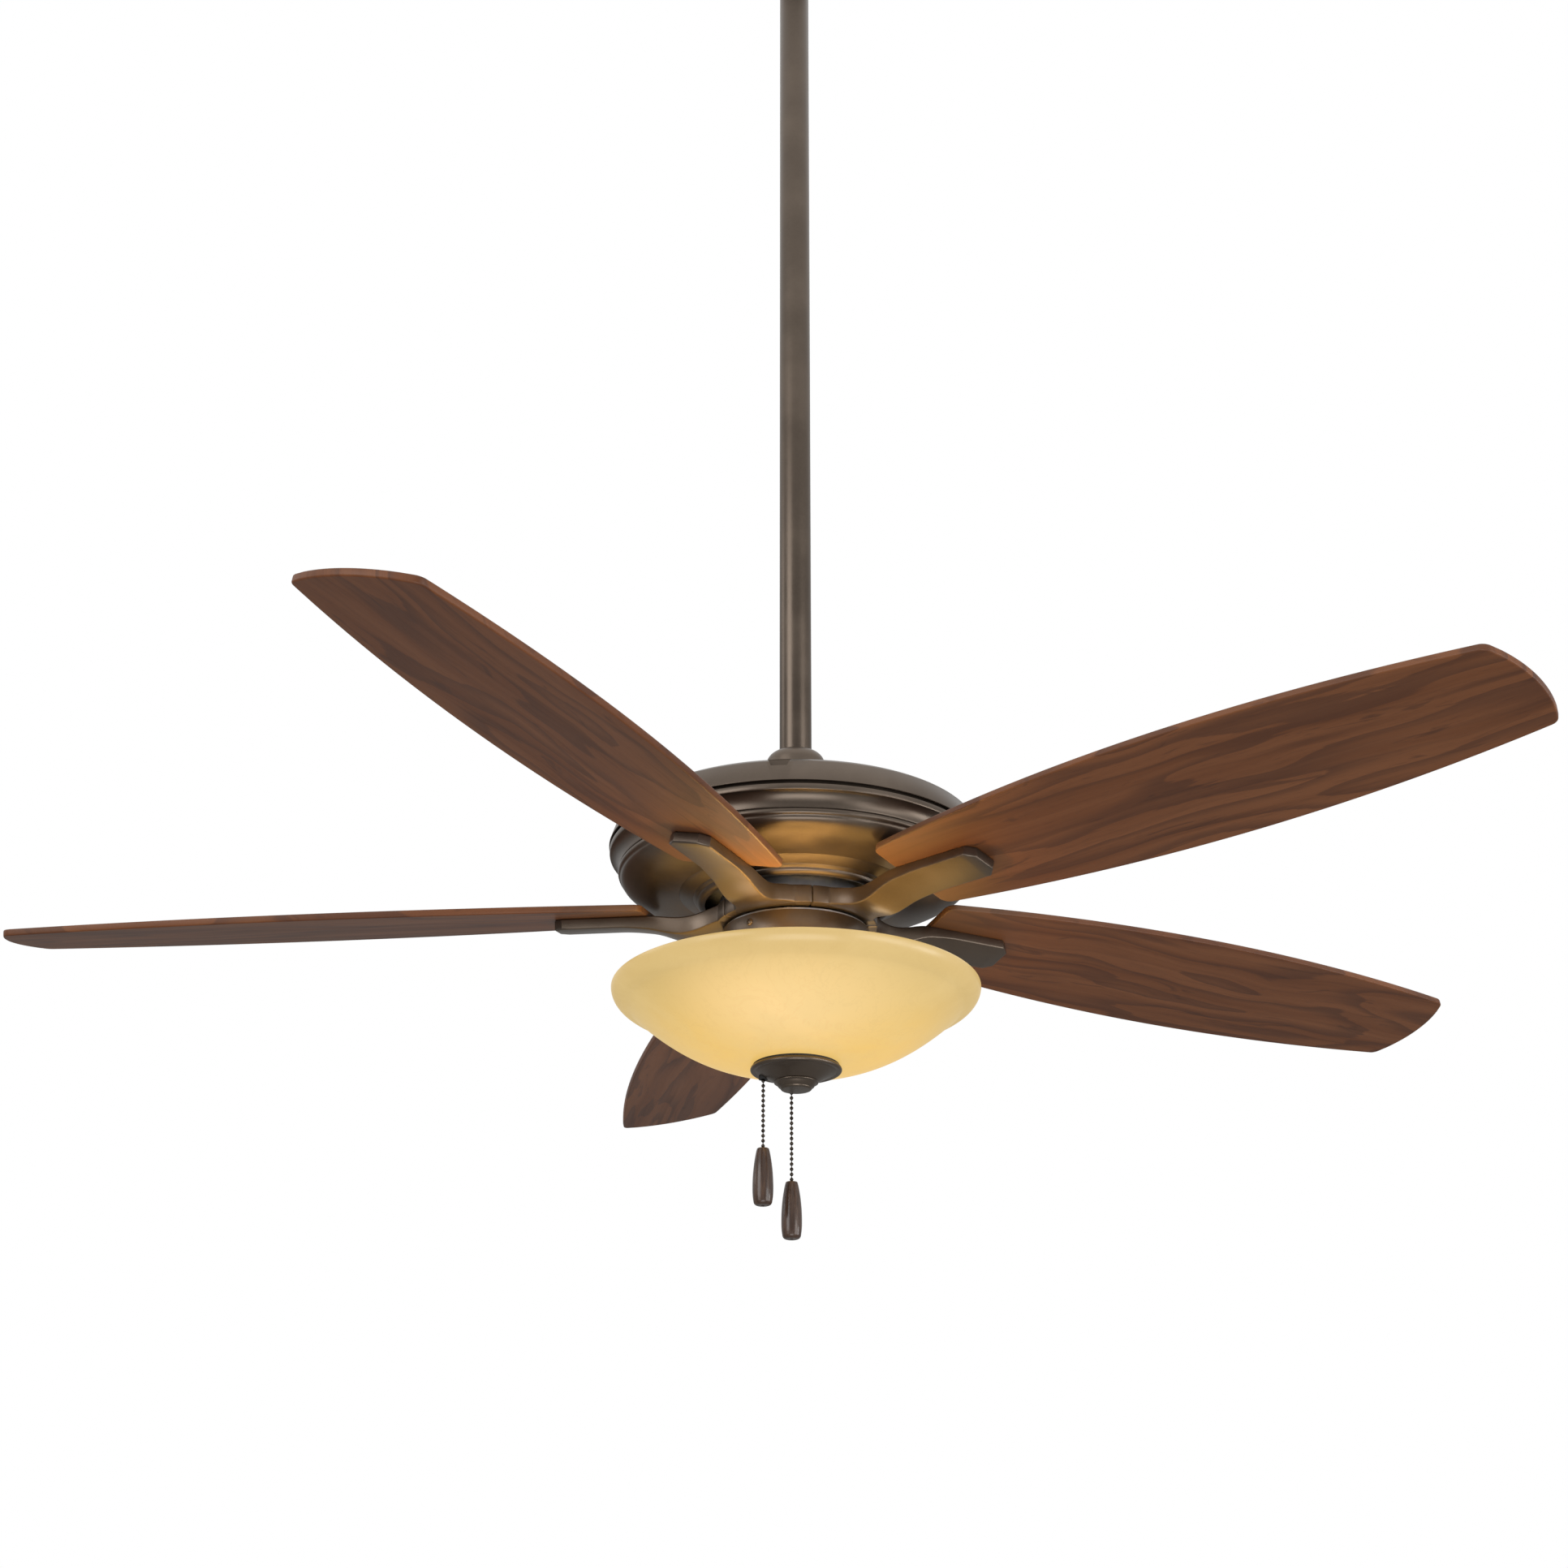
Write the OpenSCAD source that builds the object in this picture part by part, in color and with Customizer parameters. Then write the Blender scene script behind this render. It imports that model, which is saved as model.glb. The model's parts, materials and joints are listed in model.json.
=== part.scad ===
// Five-blade ceiling fan with a glass bowl light, hung from a ball on a long downrod.
// Millimetres. +Z is up, the ceiling is the plane z = 0, and the fan hangs below it.

/* [Overall] */
// Diameter that the blade tips sweep
sweep_d = 1320.8; // [1050:1:1600]
// Length of the downrod
rod_len = 914.4; // [150:1:1830]
// Direction of the first blade, counter-clockwise from +X
first_blade_az = 29.6; // [0:0.1:71]

/* [Ceiling hanger] */
// Depth of the hanger bracket below the ceiling
bracket_drop = 60; // [58:1:75]
// Width of the bracket
bracket_w = 42; // [40:1:60]
// Sheet thickness of the bracket
bracket_t = 2.5; // [2:0.1:3]
// Distance between the two outlet box screws
box_screw_spacing = 88.9; // [82:0.1:96]
// Width of a box screw slot
box_slot_w = 5.2; // [4.5:0.1:6]
// End-to-end length of a box screw slot
box_slot_len = 12; // [8:1:16]
// Radius of the wire entry in the ceiling plate
wire_hole_r = 13; // [8:1:20]
// Radius of the hanger ball
ball_r = 28; // [26:0.5:30]
// Radius of the hole in the seat that the ball rests on
seat_hole_r = 22.5; // [20:0.5:24]
// Radius of the canopy at the ceiling
canopy_r = 70; // [64:1:90]
// Depth of the canopy below the bracket
canopy_cover = 8; // [6:1:20]
// Radius of the canopy's opening round the rod
canopy_mouth_r = 31; // [28:1:36]

/* [Downrod and coupling] */
// Outside diameter of the downrod
rod_d = 26.7; // [21:0.1:30]
// Wall thickness of the downrod
rod_wall = 2.8; // [2:0.1:3.5]
// Diameter of the pins through the rod
pin_d = 6.4; // [5:0.1:8]
// Height of the coupling cover above the housing
cover_h = 52; // [48:1:70]
// Outside radius of the coupling cover's shoulder
cover_r = 24.6; // [24:0.1:32]

/* [Motor housing] */
// Largest radius of the housing
housing_r = 153; // [135:1:185]
// Height of the housing's top above the blades
housing_top_h = 88; // [86:1:100]
// Height of the joint between the two halves of the housing
housing_joint_h = 53; // [50:1:60]
// Radius of the opening that the iron ring turns under
housing_mouth_r = 74; // [70:1:80]
// Sheet thickness of the spun covers
sheet_t = 1.5; // [1:0.1:2]

/* [Motor] */
// Outside radius of the rotor shells
rotor_r = 87; // [80:1:92]
// Height of the rotor shells together
rotor_h = 52; // [44:1:56]
// Wall thickness of the rotor shells
rotor_wall = 3; // [2:0.5:4]
// Radius of the hollow motor shaft
shaft_r = 8; // [6:0.5:9]
// Outside radius of the bearings
bearing_r = 16; // [13:0.5:17]
// Width of the bearings
bearing_w = 9; // [7:0.5:11]
// Number of stator teeth
tooth_count = 12; // [8:2:16]

/* [Blades] */
// Radius at which a blade starts
blade_root_r = 120; // [105:1:140]
// Width of a blade at its root
blade_root_w = 91; // [70:1:110]
// Width of a blade at its widest
blade_w = 138.4; // [110:0.1:165]
// Width of a blade between its tip corners
blade_tip_w = 98; // [70:1:120]
// Depth of the rounded end beyond the tip corners
blade_tip_bulge = 11; // [4:1:20]
// Thickness of a blade
blade_t = 5.6; // [4:0.1:8]
// Pitch of a blade
blade_pitch = 12.5; // [6:0.5:18]

/* [Blade irons] */
// Outside radius of the ring that the irons form
iron_ring_r = 66; // [60:1:68]
// Inside radius of the ring that the irons form
iron_ring_bore_r = 36; // [30:1:44]
// Height of the ring that the irons form
iron_ring_h = 14.5; // [11:0.5:15]
// Radius at which an iron ends
iron_tip_r = 197; // [185:1:225]
// Width of an iron's arm
iron_w = 35; // [26:1:40]
// Thickness of an iron's arm under the blade
iron_t = 9; // [7:0.5:12]
// Depth of the dip in an iron's arm
iron_dip = 4; // [0:0.5:7]

/* [Switch housing] */
// Radius of the switch cup at its top
cup_r = 59.5; // [54:0.5:64]
// Height of the switch cup
cup_h = 41; // [36:1:50]
// Distance of the pull chains from the fan's axis
chain_r = 27; // [24:0.5:29]
// Direction of the fan chain
fan_chain_az = 166; // [150:1:180]
// Direction of the light chain
light_chain_az = 98; // [85:1:110]
// Travel of the reverse switch
reverse_travel = 6; // [3:0.5:8]

/* [Light] */
// Radius of the glass bowl
bowl_r = 148.4; // [130:0.1:185]
// Depth of the glass bowl
bowl_h = 65; // [56:1:80]
// Depth of the rounded band round the bowl's rim
band_drop = 15.4; // [12:0.1:20]
// Distance that the band curves inwards
band_in = 19; // [14:0.5:24]
// Thickness of the glass
glass_t = 3.5; // [2.5:0.1:5]
// Radius of the hole in the bottom of the bowl
bowl_hole_r = 31; // [29:0.5:33]
// Radius of the fitter pan
pan_r = 62; // [52:1:64]
// Radius of a bulb
bulb_r = 20; // [16:0.5:22]
// Radius of the finial plate
finial_r = 36.5; // [34:0.5:42]
// Radius of the threaded lamp pipe
pipe_r = 5; // [4:0.5:6]

/* [Pull chains] */
// Diameter of the bead chain
chain_d = 3; // [2:0.1:4]
// Length of the fan chain below the finial plate
fan_chain_len = 57; // [30:1:120]
// Length of the light chain below the finial plate
light_chain_len = 79; // [30:1:140]
// Length of a fob
fob_len = 45.6; // [30:0.1:60]
// Largest diameter of a fob
fob_d = 16.4; // [12:0.1:20]

/* [Clearances] */
// Radial gap between fixed pieces that fit each other
fixed_gap = 0.1; // [0.05:0.01:0.2]
// Radial gap of the bearings on the shaft
running_gap = 0.04; // [0.02:0.01:0.08]
// Gap between a moving piece and what it moves past
moving_gap = 0.4; // [0.3:0.1:1]

/* [Hidden] */
$fn = 72;
BLADE_COUNT = 5;
BLADE_STEP = 360 / BLADE_COUNT;

// Heights down the ceiling hanger
seat_top_z = -(bracket_drop - bracket_t);
ball_z = seat_top_z + sqrt(pow(ball_r + moving_gap, 2) - pow(seat_hole_r, 2));
ball_cut_h = 20;
rod_above_ball = 23;
rod_top_z = ball_z + rod_above_ball;
rod_bottom_z = rod_top_z - rod_len;
bracket_len = 2 * (sqrt(pow(canopy_r - sheet_t, 2) - pow(bracket_w / 2, 2)) - 1);
canopy_h = bracket_drop + canopy_cover;
rod_r = rod_d / 2;
pin_r = pin_d / 2;
tab_h = 15;
tab_w = 22;
canopy_screw_z = -9;
screw_r = 2;
screw_head_r = 3.6;
screw_head_h = 2.2;

// Heights of the hub, measured up from the blades
rod_seat_h = housing_top_h + 8;
blade_z = rod_bottom_z - rod_seat_h;
collar_r = 19.5;
collar_top_h = rod_seat_h + 26;
collar_foot_r = 22;
plate_r = 51;
plate_t = 3;
plate_h = housing_top_h - sheet_t - plate_t;
clevis_h = rod_seat_h + 13;
clevis_half_len = collar_r + 2;
housing_hole_r = collar_foot_r + fixed_gap;
plate_screw_r = 46;
rotor_bottom_h = 22;
rotor_mid_h = rotor_bottom_h + rotor_h / 2;
rotor_top_h = rotor_bottom_h + rotor_h;
rotor_in_r = rotor_r - rotor_wall;
boss_r = bearing_r + 4;
flange_w = 7;
flange_t = 3;
vent_r = 6;
core_h = rotor_h - 28;
air_gap = 0.6;
cage_t = 12;
stator_r = rotor_in_r - cage_t - air_gap;
yoke_in_r = 20;
yoke_r = stator_r * 0.52;
tooth_w = stator_r * 0.12;
tooth_tip_t = 3;
coil_t = 4;
flywheel_t = 8;
flywheel_r = iron_ring_r - 4;
flywheel_neck_r = 50;
flywheel_bore_r = 28;
cup_top_h = -(iron_ring_h + moving_gap + 3.2);
cup_wall = 1.2;
cup_bottom_h = cup_top_h - cup_h;
cup_bottom_r = cup_r - 3;
skirt_t = 2;
skirt_h = 12;
skirt_r = cup_r - cup_wall - fixed_gap;
switch_plate_t = 2.5;
switch_plate_h = cup_top_h - switch_plate_t + 1.6;
nut_r = 12.5;
nut_t = 5;
shaft_bottom_h = switch_plate_h - nut_t - 2;
cup_screw_h = cup_top_h - 6.8;
cup_screw_az = 232;
switch_r = 10.5;
switch_h = 20;
switch_neck_r = 4.5;
switch_neck_bore_r = chain_d / 2 + moving_gap;
pan_t = 1.2;
pan_h = cup_bottom_h - 0.2;
pan_skirt_h = 3;
neck_bottom_h = pan_h - pan_t - 3;
switch_top_h = cup_bottom_h + cup_wall + 1 + switch_h;
reverse_az = 75;
reverse_h = cup_top_h - 24;
slider_w = 4;
slider_h = 5;
bowl_top_h = pan_h - pan_t - 3.7;
bowl_bottom_h = bowl_top_h - bowl_h;
washer_t = 1.5;
finial_top_h = bowl_bottom_h - washer_t;
finial_rim_h = 4.2;
finial_h = 12;
finial_neck_r = 17;
nut_h = 6.5;
nut_end_r = 12.6;
nut_floor = 2;
exit_h = finial_top_h - 7;
grommet_r = 3.6;
grommet_bore_r = chain_d / 2 + moving_gap;
grommet_t = 4;
socket_r = 13;
socket_len = 38;
socket_start = 15;
socket_az = 40;
lamp_h = bowl_top_h - 15;
bulb_neck_r = 11;
fan_fob_top_h = exit_h - fan_chain_len;
light_fob_top_h = exit_h - light_chain_len;
fob_bore_r = 0.8;
iron_gap = 0.7;

// Blade outline, from its root (x) along its length
blade_tip_r = sweep_d / 2;
blade_corner_r = blade_tip_r - blade_tip_bulge;
blade_wide_r = blade_root_r + 0.51 * (blade_tip_r - blade_root_r);
blade_root_round = 9;
blade_tip_round = 9;
blade_screws_at = [[139, 0], [176, -9], [176, 9]];
iron_screws_at = [-17, 17];
iron_screw_r = (iron_ring_r + iron_ring_bore_r) / 2;

BRONZE = [0.24, 0.20, 0.17];
DARK = [0.12, 0.11, 0.10];
STEEL = [0.62, 0.62, 0.64];
ALLOY = [0.72, 0.72, 0.74];
COPPER = [0.70, 0.38, 0.20];
WALNUT = [0.38, 0.24, 0.16];
GLASS = [0.93, 0.83, 0.58];

// ---- Shared helpers ----

// Points of an arc of an ellipse about (cx, cy)
function ellipse_arc(cx, cy, rx, ry, from, to, steps = 16) =
    [for (k = [0 : steps]) let (a = from + (to - from) * k / steps) [cx + rx * cos(a), cy + ry * sin(a)]];

function backwards(points) = [for (k = [len(points) - 1 : -1 : 0]) points[k]];

function unit(v) = v / norm(v);

// Points that round the corner b of the path a, b, c with a radius
function corner(a, b, c, r, steps = 8) =
    let (
        u = unit(a - b),
        v = unit(c - b),
        half = acos(u * v) / 2,
        centre = b + unit(u + v) * r / sin(half),
        p = b + u * r / tan(half) - centre,
        q = b + v * r / tan(half) - centre,
        from = atan2(p.y, p.x),
        turn = (atan2(q.y, q.x) - from + 540) % 360 - 180
    )
    [for (k = [0 : steps]) centre + r * [cos(from + turn * k / steps), sin(from + turn * k / steps)]];

module at_hub() {
    translate([0, 0, blade_z]) children();
}

module tube(r_out, r_in, low, high) {
    translate([0, 0, low])
        difference() {
            cylinder(r = r_out, h = high - low);
            translate([0, 0, -1]) cylinder(r = r_in, h = high - low + 2);
        }
}

module spun(points) {
    rotate_extrude() polygon(points);
}

// A pan-headed screw that points down, its head's underside at z = 0
module screw(shank_r, shank_len, head_r, head_h) {
    translate([0, 0, -shank_len]) cylinder(r = shank_r, h = shank_len + 0.01);
    difference() {
        cylinder(r = head_r, h = head_h);
        translate([-head_r * 0.6, -0.4, head_h * 0.5]) cube([head_r * 1.2, 0.8, head_h]);
        translate([-0.4, -head_r * 0.6, head_h * 0.5]) cube([0.8, head_r * 1.2, head_h]);
    }
}

// ---- Ceiling hanger ----

module box_slot() {
    straight = box_slot_len - box_slot_w;
    translate([0, 0, -bracket_t - 1])
        linear_extrude(bracket_t + 2)
            union() {
                translate([-straight / 2, 0]) circle(d = box_slot_w);
                translate([straight / 2, 0]) circle(d = box_slot_w);
                translate([-straight / 2, -box_slot_w / 2]) square([straight, box_slot_w]);
            }
}

module ceiling_bracket() {
    arm_x = ball_r + 3.5;
    seat_w = bracket_w + 12;
    color("silver")
        difference() {
            union() {
                translate([-bracket_len / 2, -bracket_w / 2, -bracket_t])
                    cube([bracket_len, bracket_w, bracket_t]);
                for (side = [-1, 1]) {
                    translate([side * (arm_x + bracket_t / 2) - bracket_t / 2, -bracket_w / 2, -bracket_drop])
                        cube([bracket_t, bracket_w, bracket_drop]);
                    translate([side * (bracket_len - bracket_t) / 2 - bracket_t / 2, -tab_w / 2, -tab_h])
                        cube([bracket_t, tab_w, tab_h]);
                }
                translate([-arm_x - bracket_t, -seat_w / 2, -bracket_drop])
                    cube([2 * (arm_x + bracket_t), seat_w, bracket_t]);
            }
            translate([0, 0, -bracket_drop - 1]) cylinder(r = seat_hole_r, h = bracket_t + 2);
            translate([-rod_r - 1.5, 0, -bracket_drop - 1]) cube([rod_d + 3, seat_w, bracket_t + 2]);
            translate([0, 0, -bracket_t - 1]) cylinder(r = wire_hole_r, h = bracket_t + 2);
            for (side = [-1, 1]) {
                translate([side * box_screw_spacing / 2, 0, 0]) box_slot();
                translate([side * bracket_len / 2, 0, canopy_screw_z])
                    rotate([0, 90, 0]) cylinder(r = screw_r + fixed_gap, h = 20, center = true);
            }
        }
}

module canopy() {
    lip = 4;
    outer = concat(
        [[canopy_r, 0], [canopy_r, -lip * 3]],
        ellipse_arc(canopy_mouth_r, -lip * 3, canopy_r - canopy_mouth_r, canopy_h - lip * 3, 0, -90));
    inner = concat(
        ellipse_arc(canopy_mouth_r, -lip * 3, canopy_r - canopy_mouth_r - sheet_t,
            canopy_h - lip * 3 - sheet_t, -90, 0),
        [[canopy_r - sheet_t, 0]]);
    color(BRONZE)
        difference() {
            spun(concat(outer, inner));
            for (side = [-1, 1])
                translate([side * canopy_r, 0, canopy_screw_z])
                    rotate([0, 90, 0]) cylinder(r = screw_r + fixed_gap, h = 12, center = true);
        }
}

module canopy_screws() {
    reach = canopy_r - bracket_len / 2 + bracket_t + 2;
    color(BRONZE)
        for (side = [-1, 1])
            translate([side * canopy_r, 0, canopy_screw_z])
                rotate([0, side * 90, 0]) screw(screw_r, reach, screw_head_r, screw_head_h);
}

module hanger_ball() {
    color("ivory")
        translate([0, 0, ball_z])
            difference() {
                intersection() {
                    sphere(r = ball_r);
                    translate([0, 0, -ball_cut_h]) cylinder(r = ball_r + 1, h = 2 * ball_cut_h);
                }
                translate([0, 0, -ball_r]) cylinder(r = rod_r + fixed_gap, h = 2 * ball_r);
                rotate([90, 0, 0]) cylinder(r = pin_r + fixed_gap, h = 2 * ball_r + 2, center = true);
            }
}

module ball_pin() {
    color("silver")
        translate([0, 0, ball_z])
            rotate([90, 0, 0]) cylinder(r = pin_r, h = 2 * ball_r - 4, center = true);
}

module downrod() {
    color(BRONZE)
        difference() {
            tube(rod_r, rod_r - rod_wall, rod_bottom_z, rod_top_z);
            translate([0, 0, ball_z])
                rotate([90, 0, 0]) cylinder(r = pin_r + fixed_gap, h = rod_d + 2, center = true);
            translate([0, 0, blade_z + clevis_h])
                rotate([0, 90, 0]) cylinder(r = pin_r + fixed_gap, h = rod_d + 2, center = true);
        }
}

module coupling_cover() {
    mouth_r = rod_r + fixed_gap;
    base_h = housing_top_h + 0.2;
    top_h = housing_top_h + cover_h;
    shoulder = cover_r - mouth_r;
    outer = concat(
        [[cover_r + 3, base_h]],
        ellipse_arc(mouth_r, top_h - shoulder, shoulder, shoulder, 0, 90));
    inner = concat(
        ellipse_arc(mouth_r, top_h - shoulder, shoulder - sheet_t, shoulder - sheet_t, 90, 0),
        [[cover_r + 3 - sheet_t, base_h]]);
    color(BRONZE) at_hub() spun(concat(outer, inner));
}

// ---- Coupling and housing ----

module motor_collar() {
    color(DARK)
        at_hub()
            difference() {
                union() {
                    translate([0, 0, plate_h + plate_t]) cylinder(r = collar_foot_r, h = rod_seat_h - plate_h - plate_t);
                    translate([0, 0, rod_seat_h - 1]) cylinder(r = collar_r, h = collar_top_h - rod_seat_h + 1);
                }
                translate([0, 0, rod_seat_h - fixed_gap]) cylinder(r = rod_r + fixed_gap, h = collar_top_h);
                translate([0, 0, plate_h]) cylinder(r = shaft_r + fixed_gap, h = rod_seat_h);
                translate([0, 0, clevis_h])
                    rotate([0, 90, 0]) cylinder(r = pin_r + fixed_gap, h = 2 * collar_r + 2, center = true);
            }
}

module clevis_pin() {
    head_t = 2;
    color("silver")
        at_hub()
            translate([0, 0, clevis_h])
                rotate([0, 90, 0])
                    difference() {
                        union() {
                            cylinder(r = pin_r, h = 2 * clevis_half_len - 1, center = true);
                            translate([0, 0, -collar_r - head_t - fixed_gap]) cylinder(r = pin_r * 1.35, h = head_t);
                        }
                        translate([0, 0, clevis_half_len - 1.4])
                            rotate([90, 0, 0]) cylinder(r = 0.6, h = pin_d + 2, center = true);
                    }
}

module hairpin_clip() {
    wire_r = 0.5;
    color("silver")
        at_hub()
            translate([clevis_half_len - 1.4, 0, clevis_h])
                rotate([90, 0, 0]) {
                    cylinder(r = wire_r, h = 2 * pin_d, center = true);
                    translate([0, 0, pin_d]) sphere(r = wire_r * 2);
                }
}

// Outside of the upper half, from its hole out to its lower edge
function upper_outline(t) = concat(
    [[housing_hole_r, housing_top_h - t], [housing_hole_r + 30, housing_top_h - t]],
    ellipse_arc(housing_hole_r + 30, housing_top_h - 21, housing_r - housing_hole_r - 34 - t, 21 - t, 90, 12, 20),
    [[housing_r - t, housing_joint_h + 0.6]]);

notch_w = 19.5;
notch_az = -95;
// A notch in the shoulder with sloping sides, or the block that its pocket is cut from
module shoulder_notch(k, wall) {
    rotate([0, 0, notch_az + 120 * k])
        translate([housing_r - 15 - wall, 0, housing_top_h - 20.5])
            rotate([90, 0, 90])
                linear_extrude(16 + wall)
                    offset(delta = wall)
                        polygon([[-0.32 * notch_w, 0], [0.32 * notch_w, 0], [0.5 * notch_w, 9], [-0.5 * notch_w, 9]]);
}

module housing_upper() {
    color(BRONZE)
        at_hub()
            difference() {
                union() {
                    spun(concat(upper_outline(0), backwards(upper_outline(sheet_t))));
                    intersection() {
                        spun(concat(upper_outline(0), [[housing_hole_r, housing_joint_h + 0.6]]));
                        union() for (k = [0 : 2]) shoulder_notch(k, sheet_t);
                    }
                }
                for (x = [-1, 1], y = [-1, 1])
                    translate([x * plate_screw_r * 0.7, y * plate_screw_r * 0.7, plate_h])
                        cylinder(r = screw_r + fixed_gap, h = 20);
                for (k = [0 : 2])
                    shoulder_notch(k, 0);
            }
}

lip_r = housing_r - 8.5;
lip_h = housing_joint_h - 21.5;
belly_r = 95;
belly_h = 15;
// Outside of the lower half, from its upper edge down to its mouth
function lower_outline(t) = concat(
    [[housing_r - 3.6 - t, housing_joint_h + 5], [housing_r - 3.6 - t, housing_joint_h - 1.5]],
    [[housing_r - 0.7 - t, housing_joint_h - 2.3], [housing_r - 0.7 - t, housing_joint_h - 5.5]],
    ellipse_arc(housing_r - 1 - t, lip_h + 2.6, housing_r - 1 - lip_r, housing_joint_h - lip_h - 9.4, 90, 180, 8),
    ellipse_arc(lip_r - 1.2 - t, lip_h, 1.8, 2.6, 80, -80, 6),
    ellipse_arc(belly_r, lip_h - 3.5, lip_r - 1.6 - belly_r - t, lip_h - 3.5 - belly_h - t, 0, -90, 20),
    [[belly_r - 1.5, belly_h + t - 1.2], [83.5, 11.2 + t], [82.4, 9.8 + t]],
    ellipse_arc(housing_mouth_r + 3, 9 + t, 3.6, 4, 0, -90, 6),
    [[housing_mouth_r, 5 + t]]);

module housing_lower() {
    color(BRONZE) at_hub() spun(concat(lower_outline(0), backwards(lower_outline(sheet_t))));
}

module housing_screws() {
    color(BRONZE)
        at_hub()
            for (x = [-1, 1], y = [-1, 1])
                translate([x * plate_screw_r * 0.7, y * plate_screw_r * 0.7, housing_top_h])
                    screw(screw_r, sheet_t + plate_t + 1, screw_head_r, screw_head_h);
}

module motor_plate() {
    color("silver")
        at_hub()
            difference() {
                tube(plate_r, shaft_r + fixed_gap, plate_h, plate_h + plate_t);
                for (x = [-1, 1], y = [-1, 1])
                    translate([x * plate_screw_r * 0.7, y * plate_screw_r * 0.7, plate_h - 1])
                        cylinder(r = screw_r + fixed_gap, h = plate_t + 2);
            }
}

// ---- Motor ----

module motor_shaft() {
    color(STEEL) at_hub() tube(shaft_r, shaft_r - 2.5, shaft_bottom_h, rod_seat_h - 3);
}

module shaft_nuts() {
    color(STEEL)
        at_hub()
            for (low = [plate_h - nut_t, switch_plate_h - nut_t])
                difference() {
                    translate([0, 0, low]) cylinder(r = nut_r, h = nut_t, $fn = 6);
                    translate([0, 0, low - 1]) cylinder(r = shaft_r + fixed_gap, h = nut_t + 2);
                }
}

module tooth_places() {
    for (k = [0 : tooth_count - 1]) rotate([0, 0, 360 * k / tooth_count]) children();
}

module stator_core() {
    low = rotor_mid_h - core_h / 2;
    color(STEEL)
        at_hub() {
            tube(yoke_r, shaft_r + fixed_gap, low, low + core_h);
            tooth_places()
                translate([yoke_r - 1, -tooth_w / 2, low]) cube([stator_r - yoke_r - 1, tooth_w, core_h]);
            difference() {
                tube(stator_r, stator_r - tooth_tip_t, low, low + core_h);
                rotate([0, 0, 180 / tooth_count])
                    tooth_places()
                        translate([stator_r - 2 * tooth_tip_t, -2, low - 1]) cube([20, 4, core_h + 2]);
            }
        }
}

module windings() {
    coil_len = stator_r - yoke_r - tooth_tip_t - 3;
    color(COPPER)
        at_hub()
            tooth_places()
                translate([yoke_r + 1.5, 0, rotor_mid_h])
                    difference() {
                        translate([0, -tooth_w / 2 - coil_t, -core_h / 2 - coil_t])
                            cube([coil_len, tooth_w + 2 * coil_t, core_h + 2 * coil_t]);
                        translate([-1, -tooth_w / 2 - fixed_gap, -core_h / 2 - fixed_gap])
                            cube([coil_len + 2, tooth_w + 2 * fixed_gap, core_h + 2 * fixed_gap]);
                    }
}

module bearing(low) {
    color("silver")
        at_hub()
            difference() {
                tube(bearing_r, shaft_r + running_gap, low, low + bearing_w);
                translate([0, 0, low - 1]) tube(bearing_r - 2, shaft_r + 2, 0, 1.6);
                translate([0, 0, low + bearing_w - 0.6]) tube(bearing_r - 2, shaft_r + 2, 0, 2);
            }
}

module upper_bearing() {
    bearing(rotor_top_h - bearing_w);
}

module lower_bearing() {
    bearing(rotor_bottom_h);
}

module rotor_ring() {
    low = rotor_mid_h - core_h / 2;
    color(STEEL) at_hub() tube(rotor_in_r - fixed_gap, rotor_in_r - cage_t, low, low + core_h);
}

// Half of the rotor's casing with its open side up and its flange at z = 0
module rotor_half() {
    half_h = rotor_h / 2;
    end_low = -half_h;
    difference() {
        union() {
            tube(rotor_r, rotor_in_r, end_low, 0);
            tube(rotor_r + flange_w, rotor_in_r, -flange_t, 0);
            tube(rotor_in_r + 1, bearing_r + fixed_gap, end_low, end_low + rotor_wall);
            tube(boss_r, bearing_r + fixed_gap, end_low, end_low + bearing_w);
        }
        for (k = [0 : 7])
            rotate([0, 0, 45 * k])
                translate([(boss_r + rotor_in_r) / 2 + 6, 0, end_low - 1])
                    cylinder(r = vent_r, h = rotor_wall + 2);
        for (k = [0 : 3])
            rotate([0, 0, 90 * k + 22.5])
                translate([rotor_r + flange_w / 2, 0, -flange_t - 1])
                    cylinder(r = screw_r - 0.4 + fixed_gap, h = flange_t + 2);
    }
}

module rotor_shell_upper() {
    color(ALLOY) at_hub() translate([0, 0, rotor_mid_h]) mirror([0, 0, 1]) rotor_half();
}

module rotor_shell_lower() {
    color(ALLOY)
        at_hub()
            difference() {
                translate([0, 0, rotor_mid_h]) rotor_half();
                iron_screw_places() translate([0, 0, rotor_bottom_h - 1]) cylinder(r = screw_r + fixed_gap, h = 20);
            }
}

module rotor_screws() {
    color(STEEL)
        at_hub()
            for (k = [0 : 3])
                rotate([0, 0, 90 * k + 22.5])
                    translate([rotor_r + flange_w / 2, 0, rotor_mid_h + flange_t])
                        screw(screw_r - 0.4, 2 * flange_t + 2, screw_head_r - 0.8, screw_head_h);
}

module iron_places() {
    for (k = [0 : BLADE_COUNT - 1]) rotate([0, 0, first_blade_az + BLADE_STEP * k]) children();
}

module iron_screw_places() {
    iron_places()
        for (a = iron_screws_at) rotate([0, 0, a]) translate([iron_screw_r, 0, 0]) children();
}

module flywheel() {
    neck_r = max(flywheel_neck_r, iron_screw_r + screw_head_r + 2);
    color(ALLOY)
        at_hub()
            difference() {
                union() {
                    tube(flywheel_r, flywheel_bore_r, 0, flywheel_t);
                    tube(neck_r, flywheel_bore_r, 0, rotor_bottom_h);
                }
                iron_screw_places() translate([0, 0, -1]) cylinder(r = screw_r + fixed_gap, h = rotor_bottom_h + 2);
            }
}

// ---- Blades and irons ----

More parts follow.
